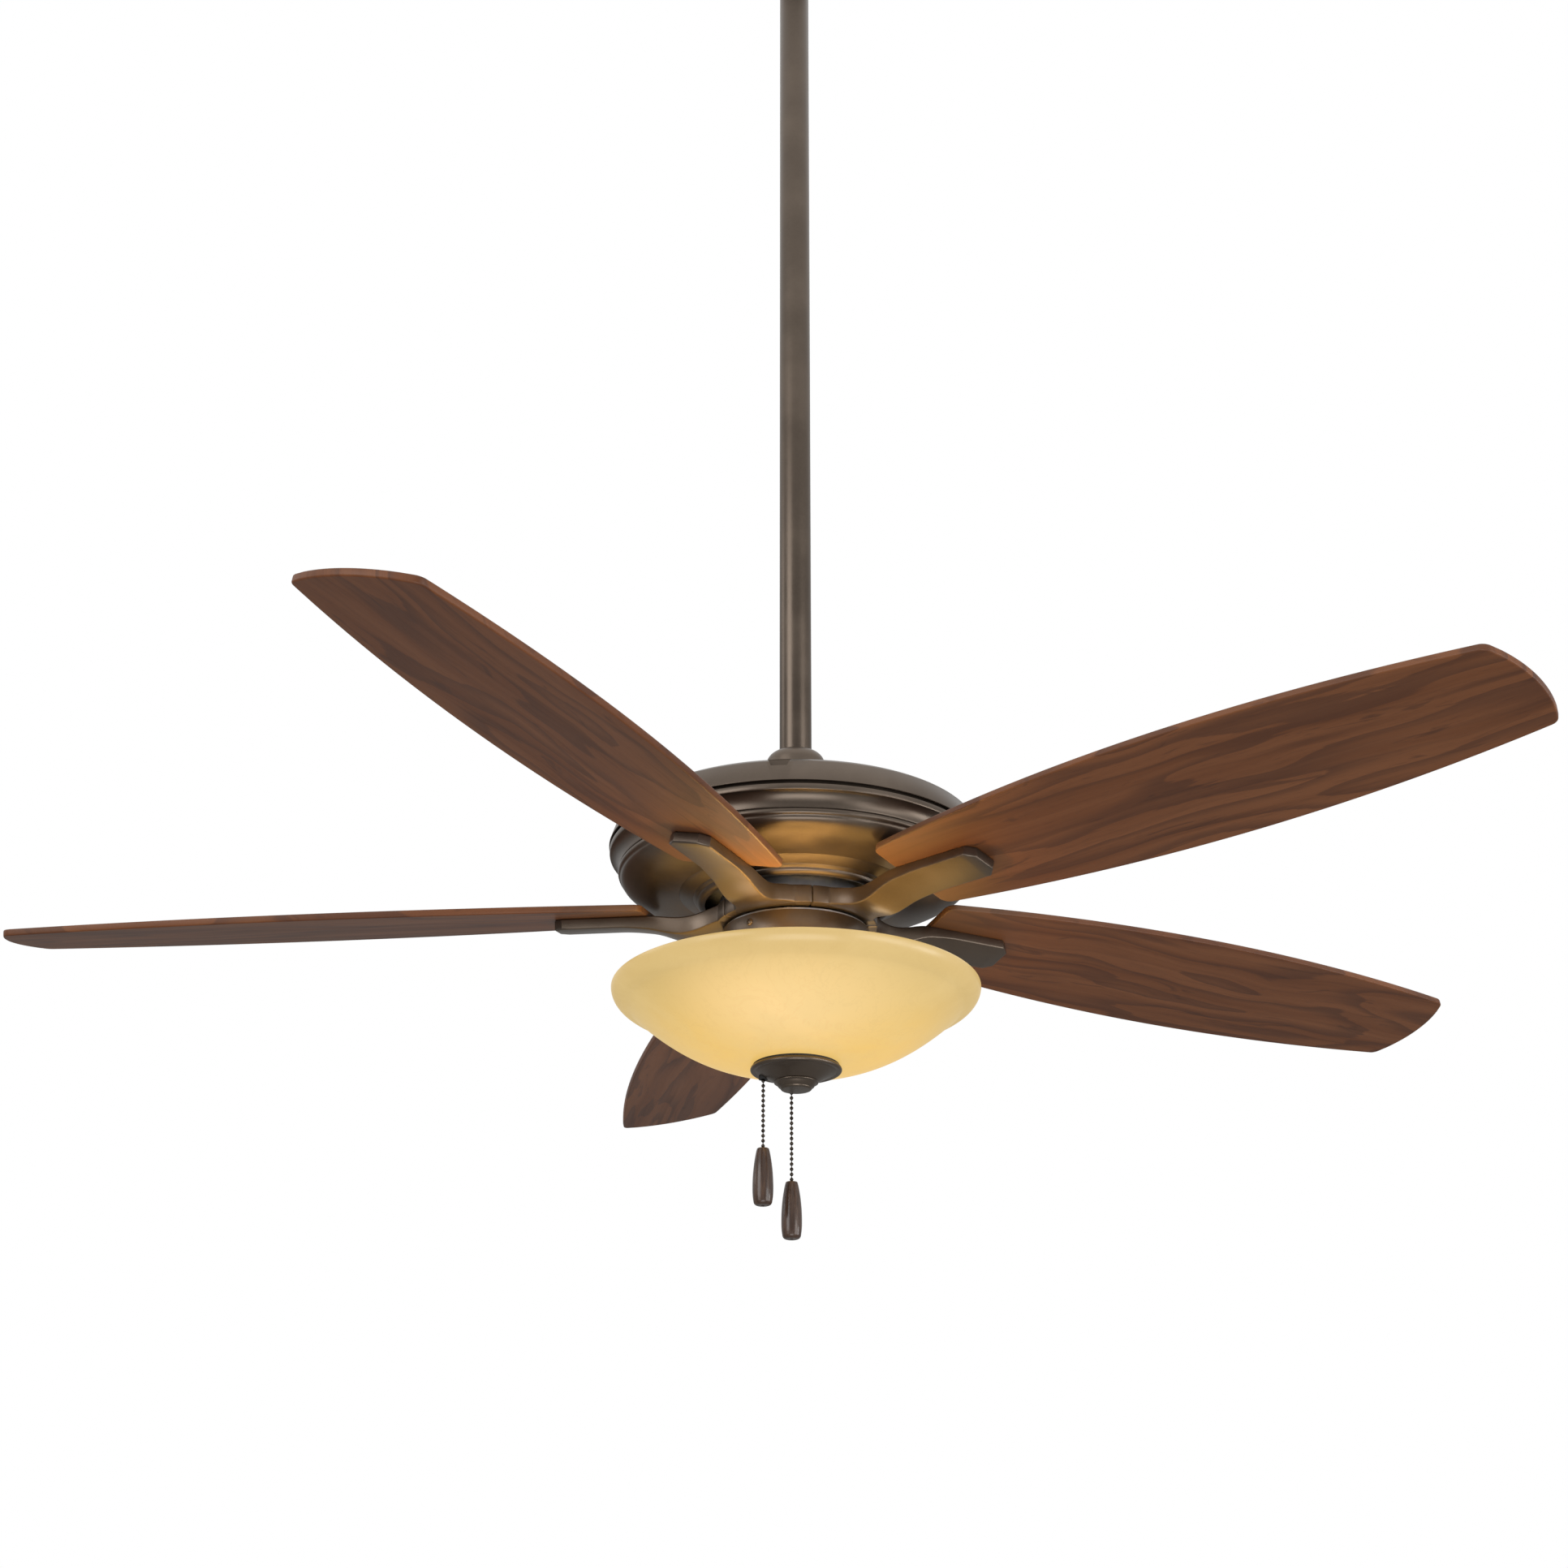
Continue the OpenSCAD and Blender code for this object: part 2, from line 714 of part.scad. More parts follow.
blade_root_half = blade_root_w / 2;
blade_tip_half = blade_tip_w / 2;
blade_half = blade_w / 2;

// Half of a blade's width at a distance from the fan's axis
function blade_half_at(s) = s < blade_wide_r
    ? blade_half - (blade_half - blade_root_half) * pow((blade_wide_r - s) / (blade_wide_r - blade_root_r), 2)
    : blade_half - (blade_half - blade_tip_half) * pow((s - blade_wide_r) / (blade_corner_r - blade_wide_r), 2);

tip_arc_r = (pow(blade_tip_half, 2) + pow(blade_tip_bulge, 2)) / (2 * blade_tip_bulge);
tip_arc_a = asin(blade_tip_half / tip_arc_r);

// One long edge, its two rounded corners and half of the tip, for positive y
function blade_side() =
    let (
        steps = 24,
        first = blade_root_r + 1.6 * blade_root_round,
        last = blade_corner_r - 1.6 * blade_tip_round,
        root = [blade_root_r, blade_half_at(blade_root_r)],
        tip = [blade_corner_r, blade_tip_half],
        edge = [for (k = [0 : steps]) let (s = first + (last - first) * k / steps) [s, blade_half_at(s)]],
        end = ellipse_arc(blade_tip_r - tip_arc_r, 0, tip_arc_r, tip_arc_r, tip_arc_a * 0.72, 0, 8)
    )
    concat(
        corner([blade_root_r, 0], root, edge[0], blade_root_round),
        edge,
        corner(edge[steps], tip, end[0], blade_tip_round),
        end);

function mirrored(points) = [for (p = backwards(points)) [p.x, -p.y]];

module pitched() {
    rotate([-blade_pitch, 0, 0]) children();
}

module blade() {
    side = blade_side();
    color(WALNUT)
        pitched()
            difference() {
                linear_extrude(blade_t) polygon(concat(side, mirrored(side)));
                for (p = blade_screws_at)
                    translate([p.x, p.y, -1]) cylinder(r = screw_r + fixed_gap, h = blade_t + 2);
            }
}

arm_start_r = iron_ring_r - 9;
arm_full_pitch_r = blade_root_r - 4;
arm_thin_r = blade_root_r + 26;
arm_chamfer = 7;

function eased(x) = let (c = max(0, min(1, x))) c * c * (3 - 2 * c);

// Cross-section of an iron's arm at a distance from the fan's axis: four corners
function arm_section(s, half) =
    let (
        pitch = blade_pitch * eased((s - iron_ring_r) / (arm_full_pitch_r - iron_ring_r)),
        dip = iron_dip * pow(sin(180 * max(0, min(1, (s - arm_start_r) / (blade_root_r - arm_start_r)))), 2),
        flare = 6 * pow(max(0, 1 - (s - arm_start_r) / 24), 2),
        thick = iron_ring_h + (iron_t - iron_ring_h) * eased((s - iron_ring_r - 20) / (arm_thin_r - iron_ring_r - 20)),
        w = half + flare
    )
    [for (c = [[-w, 0], [w, 0], [w, -thick], [-w, -thick]])
        [s, c.x * cos(pitch) + c.y * sin(pitch), c.y * cos(pitch) - c.x * sin(pitch) - dip]];

module iron_arm() {
    steps = 18;
    last = iron_tip_r - arm_chamfer;
    half = iron_w / 2;
    rings = concat(
        [for (k = [0 : steps]) arm_section(arm_start_r + (last - arm_start_r) * k / steps, half)],
        [arm_section(iron_tip_r, half - arm_chamfer)]);
    points = [for (ring = rings) for (p = ring) p];
    count = len(rings);
    walls = [for (i = [0 : count - 2], j = [0 : 3], part = [0, 1])
        let (a = 4 * i + j, b = 4 * i + (j + 1) % 4)
        part == 0 ? [a, b, a + 4] : [b, b + 4, a + 4]];
    far = 4 * (count - 1);
    caps = [[0, 2, 1], [0, 3, 2], [far, far + 1, far + 2], [far, far + 2, far + 3]];
    polyhedron(points, concat(walls, caps), convexity = 4);
}

module iron() {
    half_angle = BLADE_STEP / 2 - iron_gap / 2 / iron_ring_r * 180 / PI;
    head_depth = screw_head_h + 1.2;
    color(BRONZE)
        difference() {
            union() {
                rotate([0, 0, -half_angle])
                    rotate_extrude(angle = 2 * half_angle)
                        translate([iron_ring_bore_r, -iron_ring_h]) square([iron_ring_r - iron_ring_bore_r, iron_ring_h]);
                iron_arm();
            }
            for (a = iron_screws_at)
                rotate([0, 0, a])
                    translate([iron_screw_r, 0, 0]) {
                        translate([0, 0, -iron_ring_h - 10]) cylinder(r = screw_r + fixed_gap, h = iron_ring_h + 20);
                        translate([0, 0, -iron_ring_h - 10]) cylinder(r = screw_head_r + fixed_gap, h = head_depth + 10);
                    }
            pitched()
                for (p = blade_screws_at)
                    translate([p.x, p.y, -6]) cylinder(r = screw_r + fixed_gap, h = 12);
        }
}

module iron_at(k) {
    at_hub() rotate([0, 0, first_blade_az + BLADE_STEP * k]) iron();
}

module blade_at(k) {
    at_hub() rotate([0, 0, first_blade_az + BLADE_STEP * k]) blade();
}

module blade_screws() {
    color(BRONZE)
        at_hub()
            iron_places()
                pitched()
                    for (p = blade_screws_at)
                        translate([p.x, p.y, blade_t]) screw(screw_r, blade_t + 5, screw_head_r + 1, screw_head_h);
}

module iron_screws() {
    head_depth = screw_head_h + 1.2;
    color(STEEL)
        at_hub()
            iron_screw_places()
                translate([0, 0, head_depth - iron_ring_h])
                    mirror([0, 0, 1])
                        screw(screw_r, iron_ring_h + rotor_bottom_h - head_depth, screw_head_r, screw_head_h);
}

// ---- Switch housing ----

function chain_xy(az) = [chain_r * cos(az), chain_r * sin(az), 0];

module switch_plate() {
    color("silver")
        at_hub()
            difference() {
                union() {
                    tube(skirt_r, shaft_r + fixed_gap, switch_plate_h, switch_plate_h + switch_plate_t);
                    tube(skirt_r, skirt_r - skirt_t, switch_plate_h - skirt_h, switch_plate_h + 0.5);
                }
                cup_screw_places() cylinder(r = screw_r + fixed_gap, h = 30, center = true);
            }
}

module cup_screw_places() {
    for (k = [0 : 2])
        rotate([0, 0, cup_screw_az + 120 * k])
            translate([cup_r, 0, cup_screw_h]) rotate([0, 90, 0]) children();
}

module switch_cup() {
    outer = concat([[cup_r, cup_top_h], [cup_r, cup_top_h - skirt_h - 3]], ellipse_arc(cup_bottom_r - 5, cup_bottom_h + 5, 5, 5, 0, -90, 8));
    floor_r = cup_bottom_r - 5;
    inner = concat(
        ellipse_arc(floor_r, cup_bottom_h + 5, 5 - cup_wall, 5 - cup_wall, -90, 0, 8),
        [[cup_r - cup_wall, cup_top_h - skirt_h - 3], [cup_r - cup_wall, cup_top_h]]);
    slot_h = slider_h + reverse_travel + 2 * moving_gap;
    color(BRONZE)
        at_hub()
            difference() {
                spun(concat([[pipe_r + fixed_gap, cup_bottom_h]], backwards(outer), backwards(inner),
                    [[pipe_r + fixed_gap, cup_bottom_h + cup_wall]]));
                cup_screw_places() cylinder(r = screw_r + fixed_gap, h = 12, center = true);
                for (az = [fan_chain_az, light_chain_az])
                    translate(chain_xy(az) + [0, 0, cup_bottom_h - 1])
                        cylinder(r = switch_neck_r + fixed_gap, h = cup_wall + 2);
                rotate([0, 0, reverse_az])
                    translate([cup_bottom_r - 6, -slider_w / 2 - moving_gap, reverse_h - slider_h / 2 - moving_gap])
                        cube([16, slider_w + 2 * moving_gap, slot_h]);
            }
}

module cup_screws() {
    color(BRONZE)
        at_hub()
            cup_screw_places() translate([0, 0, fixed_gap]) screw(screw_r, cup_wall + skirt_t + 2, 3, screw_head_h);
}

module capacitor() {
    size = [38, 18, 24];
    color("black")
        at_hub()
            rotate([0, 0, 300])
                translate([31, 0, cup_bottom_h + cup_wall + 1 + size.z / 2])
                    rotate([0, 0, 90]) cube(size, center = true);
}

module pull_switch(az) {
    at_hub()
        translate(chain_xy(az))
            difference() {
                union() {
                    translate([0, 0, switch_top_h - switch_h]) cylinder(r = switch_r, h = switch_h);
                    translate([0, 0, neck_bottom_h]) cylinder(r = switch_neck_r, h = switch_top_h - switch_h - neck_bottom_h + 1);
                }
                translate([0, 0, neck_bottom_h - 1])
                    cylinder(r = switch_neck_bore_r, h = switch_top_h - neck_bottom_h - 5);
            }
}

module fan_pull_switch() {
    color("dimgray") pull_switch(fan_chain_az);
}

module light_pull_switch() {
    color("dimgray") pull_switch(light_chain_az);
}

module reverse_switch() {
    depth = 11;
    wide = 14;
    tall = slider_h + reverse_travel + 8;
    back_r = cup_bottom_r - cup_wall - 1.2;
    mid_h = reverse_h + reverse_travel / 2;
    color("black")
        at_hub()
            rotate([0, 0, reverse_az])
                difference() {
                    translate([back_r - depth, -wide / 2, mid_h - tall / 2]) cube([depth, wide, tall]);
                    translate([back_r - depth / 2, -slider_w / 2 - moving_gap, reverse_h - slider_h / 2 - moving_gap])
                        cube([depth, slider_w + 2 * moving_gap, slider_h + reverse_travel + 2 * moving_gap]);
                }
}

module reverse_slider() {
    start_r = cup_bottom_r - cup_wall - 6;
    color("black")
        at_hub()
            rotate([0, 0, reverse_az])
                translate([start_r, -slider_w / 2, reverse_h - slider_h / 2])
                    cube([cup_r + 2.5 - start_r, slider_w, slider_h]);
}

// ---- Light ----

module fitter_pan() {
    round_r = 4;
    outer = concat([[pan_r, pan_h - pan_skirt_h - round_r]], ellipse_arc(pan_r - round_r, pan_h - round_r, round_r, round_r, 0, 90, 8));
    inner_r = round_r - pan_t;
    inner = concat(ellipse_arc(pan_r - round_r, pan_h - round_r, inner_r, inner_r, 90, 0, 8),
        [[pan_r - pan_t, pan_h - pan_skirt_h - round_r]]);
    color("white")
        at_hub()
            difference() {
                spun(concat([[pipe_r + fixed_gap, pan_h - pan_t]], [[pipe_r + fixed_gap, pan_h]], backwards(outer), backwards(inner)));
                for (az = [fan_chain_az, light_chain_az])
                    translate(chain_xy(az) + [0, 0, pan_h - pan_t - 1])
                        cylinder(r = switch_neck_r + fixed_gap, h = pan_t + 2);
            }
}

module lamp_places() {
    for (side = [0, 180])
        rotate([0, 0, socket_az + side]) translate([socket_start, 0, lamp_h]) rotate([0, 90, 0]) children();
}

module lamp_sockets() {
    leg_w = 12;
    color("ivory")
        at_hub()
            difference() {
                union() {
                    lamp_places() cylinder(r = socket_r, h = socket_len);
                    for (side = [0, 180])
                        rotate([0, 0, socket_az + side])
                            translate([socket_start + 2, -leg_w / 2, lamp_h])
                                cube([leg_w, leg_w, pan_h - pan_t - lamp_h]);
                }
                lamp_places() translate([0, 0, 12]) cylinder(r = bulb_neck_r + 0.6, h = socket_len);
            }
}

module bulbs() {
    neck_start = 14;
    bulb_mid = socket_len + bulb_r + 12;
    color("ivory")
        at_hub()
            lamp_places() {
                translate([0, 0, neck_start]) cylinder(r = bulb_neck_r, h = socket_len - neck_start + 8);
                translate([0, 0, bulb_mid]) sphere(r = bulb_r);
                translate([0, 0, socket_len + 7]) cylinder(r1 = bulb_neck_r, r2 = bulb_r * 0.9, h = bulb_mid - socket_len - 15);
            }
}

module lamp_pipe() {
    color("goldenrod") at_hub() tube(pipe_r, pipe_r - 1.5, finial_top_h - finial_h - nut_h + nut_floor, cup_bottom_h + 12);
}

rim_round = 2;
// Profile of the glass from its rim down to its hole, t inside the outer surface
function bowl_outline(t) =
    let (
        band_top_h = bowl_top_h - rim_round,
        step_r = bowl_r - band_in + 4.6,
        step_h = band_top_h - band_drop,
        low_h = bowl_bottom_h + t,
        high_h = step_h + 0.75 * t,
        high_r = step_r - 0.7 * t,
        steps = 24
    )
    concat(
        t > 0 ? [] : ellipse_arc(bowl_r - rim_round, band_top_h, rim_round, rim_round, 90, 10, 5),
        t > 0 ? [[bowl_r - t, bowl_top_h]] : [],
        ellipse_arc(bowl_r - band_in, band_top_h, band_in - t, band_drop - t, 0, -70, 12),
        [for (k = [0 : steps])
            let (r = high_r + (bowl_hole_r - high_r) * k / steps)
            [r, low_h + (high_h - low_h) * pow((r - bowl_hole_r) / (high_r - bowl_hole_r), 2)]]);

module glass_bowl() {
    color(GLASS) at_hub() spun(concat(bowl_outline(0), backwards(bowl_outline(glass_t))));
}

module bowl_washer() {
    color("black") at_hub() tube(finial_r - 2, bowl_hole_r + 0.4, finial_top_h, finial_top_h + washer_t);
}

module finial_plate() {
    t = 2;
    color(BRONZE)
        at_hub()
            difference() {
                translate([0, 0, finial_top_h])
                    spun(concat(
                        [[pipe_r + fixed_gap, -finial_h + t], [finial_neck_r, -finial_h + t], [finial_r - 5, -t], [finial_r - 5, 0]],
                        ellipse_arc(finial_r - 2, -finial_rim_h / 2, 2, finial_rim_h / 2, 90, -90, 10),
                        [[finial_r - 5, -finial_rim_h], [finial_neck_r, -finial_h], [pipe_r + fixed_gap, -finial_h]]));
                for (az = [fan_chain_az, light_chain_az])
                    translate(chain_xy(az) + [0, 0, finial_top_h - finial_h])
                        cylinder(r = grommet_r + fixed_gap, h = finial_h + 2);
            }
}

module finial_nut() {
    top = finial_top_h - finial_h;
    color(BRONZE)
        at_hub()
            difference() {
                spun(concat(
                    [[0, top], [finial_neck_r + 0.6, top], [finial_neck_r + 0.6, top - 0.9]],
                    [[nut_end_r + 1.6, top - nut_h + 2.6]],
                    ellipse_arc(nut_end_r - 1.6, top - nut_h + 1.6, 1.6, 1.6, 0, -90, 6),
                    [[0, top - nut_h]]));
                translate([0, 0, top - nut_h + nut_floor]) cylinder(r = pipe_r + fixed_gap, h = nut_h);
            }
}

module chain_grommets() {
    color("black")
        at_hub()
            for (az = [fan_chain_az, light_chain_az])
                translate(chain_xy(az)) tube(grommet_r, grommet_bore_r, exit_h - 1, exit_h - 1 + grommet_t);
}

// ---- Pull chains ----

// Round tube along a path of points that runs downwards
module swept(path, r, sides = 8) {
    count = len(path);
    points = [for (p = path) for (k = [0 : sides - 1]) p + r * [cos(360 * k / sides), sin(360 * k / sides), 0]];
    walls = [for (i = [0 : count - 2], k = [0 : sides - 1])
        let (a = sides * i + k, b = sides * i + (k + 1) % sides)
        [a, b, b + sides, a + sides]];
    top = [for (k = [sides - 1 : -1 : 0]) k];
    bottom = [for (k = [0 : sides - 1]) sides * (count - 1) + k];
    polyhedron(points, concat([top], [bottom], walls), convexity = 2);
}

// Route of a hanging chain: depths below its exit as shares of its length
CHAIN_STOPS = [0, 0.1, 0.2, 0.3, 0.4, 0.5, 0.6, 0.7, 0.8, 0.9, 1];

module hanging_chain(az, length) {
    path = [for (share = CHAIN_STOPS) chain_xy(az) + [0, 0, exit_h - share * length]];
    color("gray") at_hub() swept(path, chain_d / 2);
}

module inner_chain(az) {
    color("gray") at_hub() translate(chain_xy(az)) translate([0, 0, exit_h]) cylinder(r = chain_d / 2, h = switch_top_h - 12 - exit_h);
}

module fob(az, top_h) {
    wide_at = 0.6;
    neck = fob_d * 0.3;
    r = fob_d / 2;
    outline = concat(
        [[0, top_h]],
        [for (k = [0 : 14]) let (x = k / 14) [neck + (r - neck) * sin(90 * pow(x, 0.8)), top_h - fob_len * wide_at * x]],
        [for (k = [1 : 10]) let (x = k / 10)
            [r - (r - neck * 1.1) * pow(x, 2.2), top_h - fob_len * (wide_at + (1 - wide_at) * x)]],
        [[0, top_h - fob_len]]);
    color(WALNUT)
        at_hub()
            translate(chain_xy(az)) spun(outline);
}

module fan_chain_inner() {
    inner_chain(fan_chain_az);
}

module light_chain_inner() {
    inner_chain(light_chain_az);
}

module fan_chain() {
    hanging_chain(fan_chain_az, fan_chain_len);
}

module light_chain() {
    hanging_chain(light_chain_az, light_chain_len);
}

module fan_fob() {
    fob(fan_chain_az, fan_fob_top_h);
}

module light_fob() {
    fob(light_chain_az, light_fob_top_h);
}

ceiling_bracket();
canopy();
canopy_screws();
hanger_ball();
ball_pin();
downrod();
coupling_cover();
motor_collar();
clevis_pin();
hairpin_clip();
housing_upper();
housing_lower();
housing_screws();
motor_plate();
motor_shaft();
shaft_nuts();
stator_core();
windings();
upper_bearing();
lower_bearing();
rotor_ring();
rotor_shell_upper();
rotor_shell_lower();
rotor_screws();
flywheel();
iron_at(0);  // blade_iron_1
iron_at(1);  // blade_iron_2
iron_at(2);  // blade_iron_3
iron_at(3);  // blade_iron_4
iron_at(4);  // blade_iron_5
blade_at(0);  // blade_1
blade_at(1);  // blade_2
blade_at(2);  // blade_3
blade_at(3);  // blade_4
blade_at(4);  // blade_5
blade_screws();
iron_screws();
switch_plate();
switch_cup();
cup_screws();
capacitor();
fan_pull_switch();
light_pull_switch();
reverse_switch();
reverse_slider();
fitter_pan();
lamp_sockets();
bulbs();
lamp_pipe();
glass_bowl();
bowl_washer();
finial_plate();
finial_nut();
chain_grommets();
fan_chain_inner();
light_chain_inner();
fan_chain();
fan_fob();
light_chain();
light_fob();
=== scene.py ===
import json
import math
from functools import partial

import bmesh
import bpy
from bpy.props import FloatProperty, FloatVectorProperty, IntProperty, PointerProperty
from mathutils import Matrix, Vector


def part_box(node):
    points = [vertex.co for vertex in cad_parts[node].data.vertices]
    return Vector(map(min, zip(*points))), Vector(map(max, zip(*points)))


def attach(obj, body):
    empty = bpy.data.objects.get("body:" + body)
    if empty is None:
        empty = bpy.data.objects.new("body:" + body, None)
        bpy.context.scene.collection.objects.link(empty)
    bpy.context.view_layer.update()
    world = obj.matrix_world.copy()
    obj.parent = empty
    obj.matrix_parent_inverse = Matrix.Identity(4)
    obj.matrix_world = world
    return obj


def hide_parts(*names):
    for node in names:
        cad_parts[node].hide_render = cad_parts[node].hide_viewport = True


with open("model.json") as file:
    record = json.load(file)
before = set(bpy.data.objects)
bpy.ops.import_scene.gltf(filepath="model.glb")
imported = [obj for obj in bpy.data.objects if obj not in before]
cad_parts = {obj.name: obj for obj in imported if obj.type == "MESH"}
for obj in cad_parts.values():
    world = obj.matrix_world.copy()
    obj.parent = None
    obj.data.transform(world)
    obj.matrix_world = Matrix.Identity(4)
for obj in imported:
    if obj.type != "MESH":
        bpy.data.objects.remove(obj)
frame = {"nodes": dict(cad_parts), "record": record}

bl_info = {
    "name": "Ceiling Fan With Light",
    "version": (1, 0, 0),
    "blender": (4, 5, 0),
    "location": "3D View > Sidebar > Ceiling Fan",
    "description": "Builds the looks of a five-blade ceiling fan with a glass bowl light round its frame",
    "category": "Object",
}

MM = 0.001
MERGE = 2e-6
FLOOR_SIZE = 80.0
VENTS, FIRST_VENT = 3, -95
BULB_AZIMUTH, LEVER_AZIMUTH, CUP_SCREW_AZIMUTH = 40, 75, 232
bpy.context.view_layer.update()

# Places that the frame gives: heights are in metres, and the blades' underside is HUB
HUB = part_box("flywheel")[0].z
HOUSING_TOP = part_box("housing_upper")[1].z
CANOPY_LOW, CANOPY_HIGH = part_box("canopy")
ROD_LOW, ROD_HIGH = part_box("downrod")
CUP_LOW, CUP_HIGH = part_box("switch_cup")
BOWL_LOW, BOWL_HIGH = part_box("glass_bowl")
FINIAL_LOW, FINIAL_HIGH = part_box("finial_plate")
CHAIN_TOPS = {name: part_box(name)[1].z for name in ("fan_chain", "light_chain")}


def width_of(node):
    low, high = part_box(node)
    return high.x - low.x


def middle_of(node):
    low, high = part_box(node)
    return (low.x + high.x) / 2, (low.y + high.y) / 2


# ---- Sizes and colours that a user may change ----


def length(name, description, default, **more):
    return FloatProperty(name=name, description=description, default=default, unit="LENGTH", precision=4,
                         **more)


def colour(name, description, default):
    return FloatVectorProperty(name=name, description=description, default=default, subtype="COLOR",
                               size=3, min=0.0, max=1.0)


class HousingSizes(bpy.types.PropertyGroup):
    """Sizes of the spun motor housing and the coupling cover."""
    radius: length("Radius", "Largest radius of the housing", width_of("housing_upper") / 2)
    top: length("Top", "Height of the housing's top above the blades", HOUSING_TOP - HUB)
    joint: length("Joint", "Height of the joint between the housing's halves", 53 * MM)
    hole: length("Hole", "Radius of the hole round the coupling", 22.1 * MM)
    mouth: length("Mouth", "Radius of the opening above the blade irons", 74 * MM)
    sheet: length("Sheet", "Thickness of the spun sheet", 1.5 * MM)
    cover: length("Cover", "Radius of the coupling cover's foot", width_of("coupling_cover") / 2)


class BladeSizes(bpy.types.PropertyGroup):
    """Sizes of the blades and the irons that carry them."""
    count: IntProperty(name="Blades", description="Number of blades", default=5)
    first: FloatProperty(name="First blade", description="Direction of the first blade",
                         default=math.radians(29.6), subtype="ANGLE")
    pitch: FloatProperty(name="Pitch", description="Pitch of a blade", default=math.radians(12.5), subtype="ANGLE")
    root: length("Root", "Radius at which a blade starts", 120 * MM)
    tip: length("Tip", "Radius that the blade tips sweep", 660.4 * MM)
    root_width: length("Root width", "Width of a blade at its root", 91 * MM)
    width: length("Width", "Largest width of a blade", 138.4 * MM)
    tip_width: length("Tip width", "Width of a blade between its tip corners", 98 * MM)
    bulge: length("Bulge", "Depth of the curved end beyond the tip corners", 11 * MM)
    thickness: length("Thickness", "Thickness of a blade", 5.6 * MM)
    ring: length("Iron ring", "Outside radius of the ring that the irons form", 66 * MM)
    ring_bore: length("Iron ring bore", "Inside radius of that ring", 36 * MM)
    ring_height: length("Iron ring height", "Height of that ring", 14.5 * MM)
    iron_tip: length("Iron tip", "Radius at which an iron ends", 197 * MM)
    iron_width: length("Iron width", "Width of an iron's arm", 35 * MM)
    iron_thickness: length("Iron thickness", "Thickness of an iron under the blade", 9 * MM)
    dip: length("Dip", "Depth of the dip in an iron's arm", 4 * MM)


class LightSizes(bpy.types.PropertyGroup):
    """Sizes of the switch cup, the glass bowl and the finial."""
    bowl: length("Bowl radius", "Radius of the glass bowl", (BOWL_HIGH.x - BOWL_LOW.x) / 2)
    glass: length("Glass", "Thickness of the glass", 3.5 * MM)
    bowl_hole: length("Bowl hole", "Radius of the hole in the bottom of the bowl", 31 * MM)
    band_in: length("Band in", "Distance that the bowl's band curves inwards", 19 * MM)
    band_drop: length("Band drop", "Depth of the bowl's rounded band", 15.4 * MM)
    cup: length("Cup radius", "Radius of the switch cup", (CUP_HIGH.x - CUP_LOW.x) / 2)
    finial: length("Finial radius", "Radius of the finial plate", (FINIAL_HIGH.x - FINIAL_LOW.x) / 2)
    pipe: length("Pipe radius", "Radius of the lamp pipe", 5 * MM)


class ChainSizes(bpy.types.PropertyGroup):
    """Sizes of the pull chains and their fobs."""
    diameter: length("Bead", "Diameter of a bead", 3 * MM)
    pitch: length("Pitch", "Distance from bead to bead", 4.1 * MM)
    fan: length("Fan chain", "Length of the fan chain", 57 * MM)
    light: length("Light chain", "Length of the light chain", 79 * MM)
    fob: length("Fob", "Length of a fob", 45.6 * MM)
    fob_width: length("Fob width", "Largest diameter of a fob", 16.4 * MM)


class FanColours(bpy.types.PropertyGroup):
    """Colours of the fan's finishes."""
    bronze: colour("Bronze", "Oil-rubbed bronze", (0.112, 0.086, 0.066))
    bronze_rub: colour("Rubbed bronze", "Bronze where the oil is rubbed thin", (0.180, 0.140, 0.108))
    walnut: colour("Walnut", "Ground colour of the veneer", (0.150, 0.047, 0.0125))
    walnut_dark: colour("Dark walnut", "Streaks in the veneer", (0.050, 0.0155, 0.0070))
    walnut_light: colour("Light walnut", "Pale bands in the veneer", (0.215, 0.078, 0.027))
    edge: colour("Blade edge", "Lacquer on a blade's edge", (0.210, 0.065, 0.072))
    glass: colour("Glass", "Unlit alabaster glass", (0.22, 0.155, 0.070))
    glow: colour("Glow", "Glass in front of the bulbs", (0.84, 0.58, 0.25))
    glow_far: colour("Far glow", "Glass away from the bulbs", (0.52, 0.365, 0.125))


class StudioSettings(bpy.types.PropertyGroup):
    """Camera, lamps and floor."""
    camera_back: length("Camera distance", "Distance of the camera in front of the fan", 2.0316)
    camera_drop: length("Camera drop", "Height of the camera below the blades", 0.7306)
    camera_pitch: FloatProperty(name="Camera pitch", description="How far the camera looks up",
                                default=math.radians(22.55), subtype="ANGLE")
    camera_yaw: FloatProperty(name="Camera yaw", description="How far the camera looks to the left",
                              default=math.radians(0.272), subtype="ANGLE")
    lens: FloatProperty(name="Lens", description="Focal length on a 36 mm sensor", default=60.93)
    key: FloatProperty(name="Key light", description="Power of the large soft lights", default=30.0, unit="POWER")
    bulb: FloatProperty(name="Bulbs", description="Power of the light that rises from the bowl", default=0.08,
                        unit="POWER")
    floor: length("Floor", "Height of the floor below the ceiling", 3.0)


def turn_of(sizes, number):
    """Direction of a blade, its number counted from 0."""
    return sizes.first + math.tau * number / sizes.count


GROUPS = {"fan_housing": HousingSizes, "fan_blades": BladeSizes, "fan_light": LightSizes,
          "fan_chains": ChainSizes, "fan_colours": FanColours, "fan_studio": StudioSettings}


# ---- Outlines ----


def spread(start, end, steps):
    """Evenly spaced values from start to end."""
    return [start + (end - start) * k / steps for k in range(steps + 1)]


def arc(r, z, wide, high, start, end, steps=16):
    """Points of an arc of an ellipse about (r, z), its angles in degrees."""
    angles = [math.radians(a) for a in spread(start, end, steps)]
    return [(r + wide * math.cos(a), z + high * math.sin(a)) for a in angles]


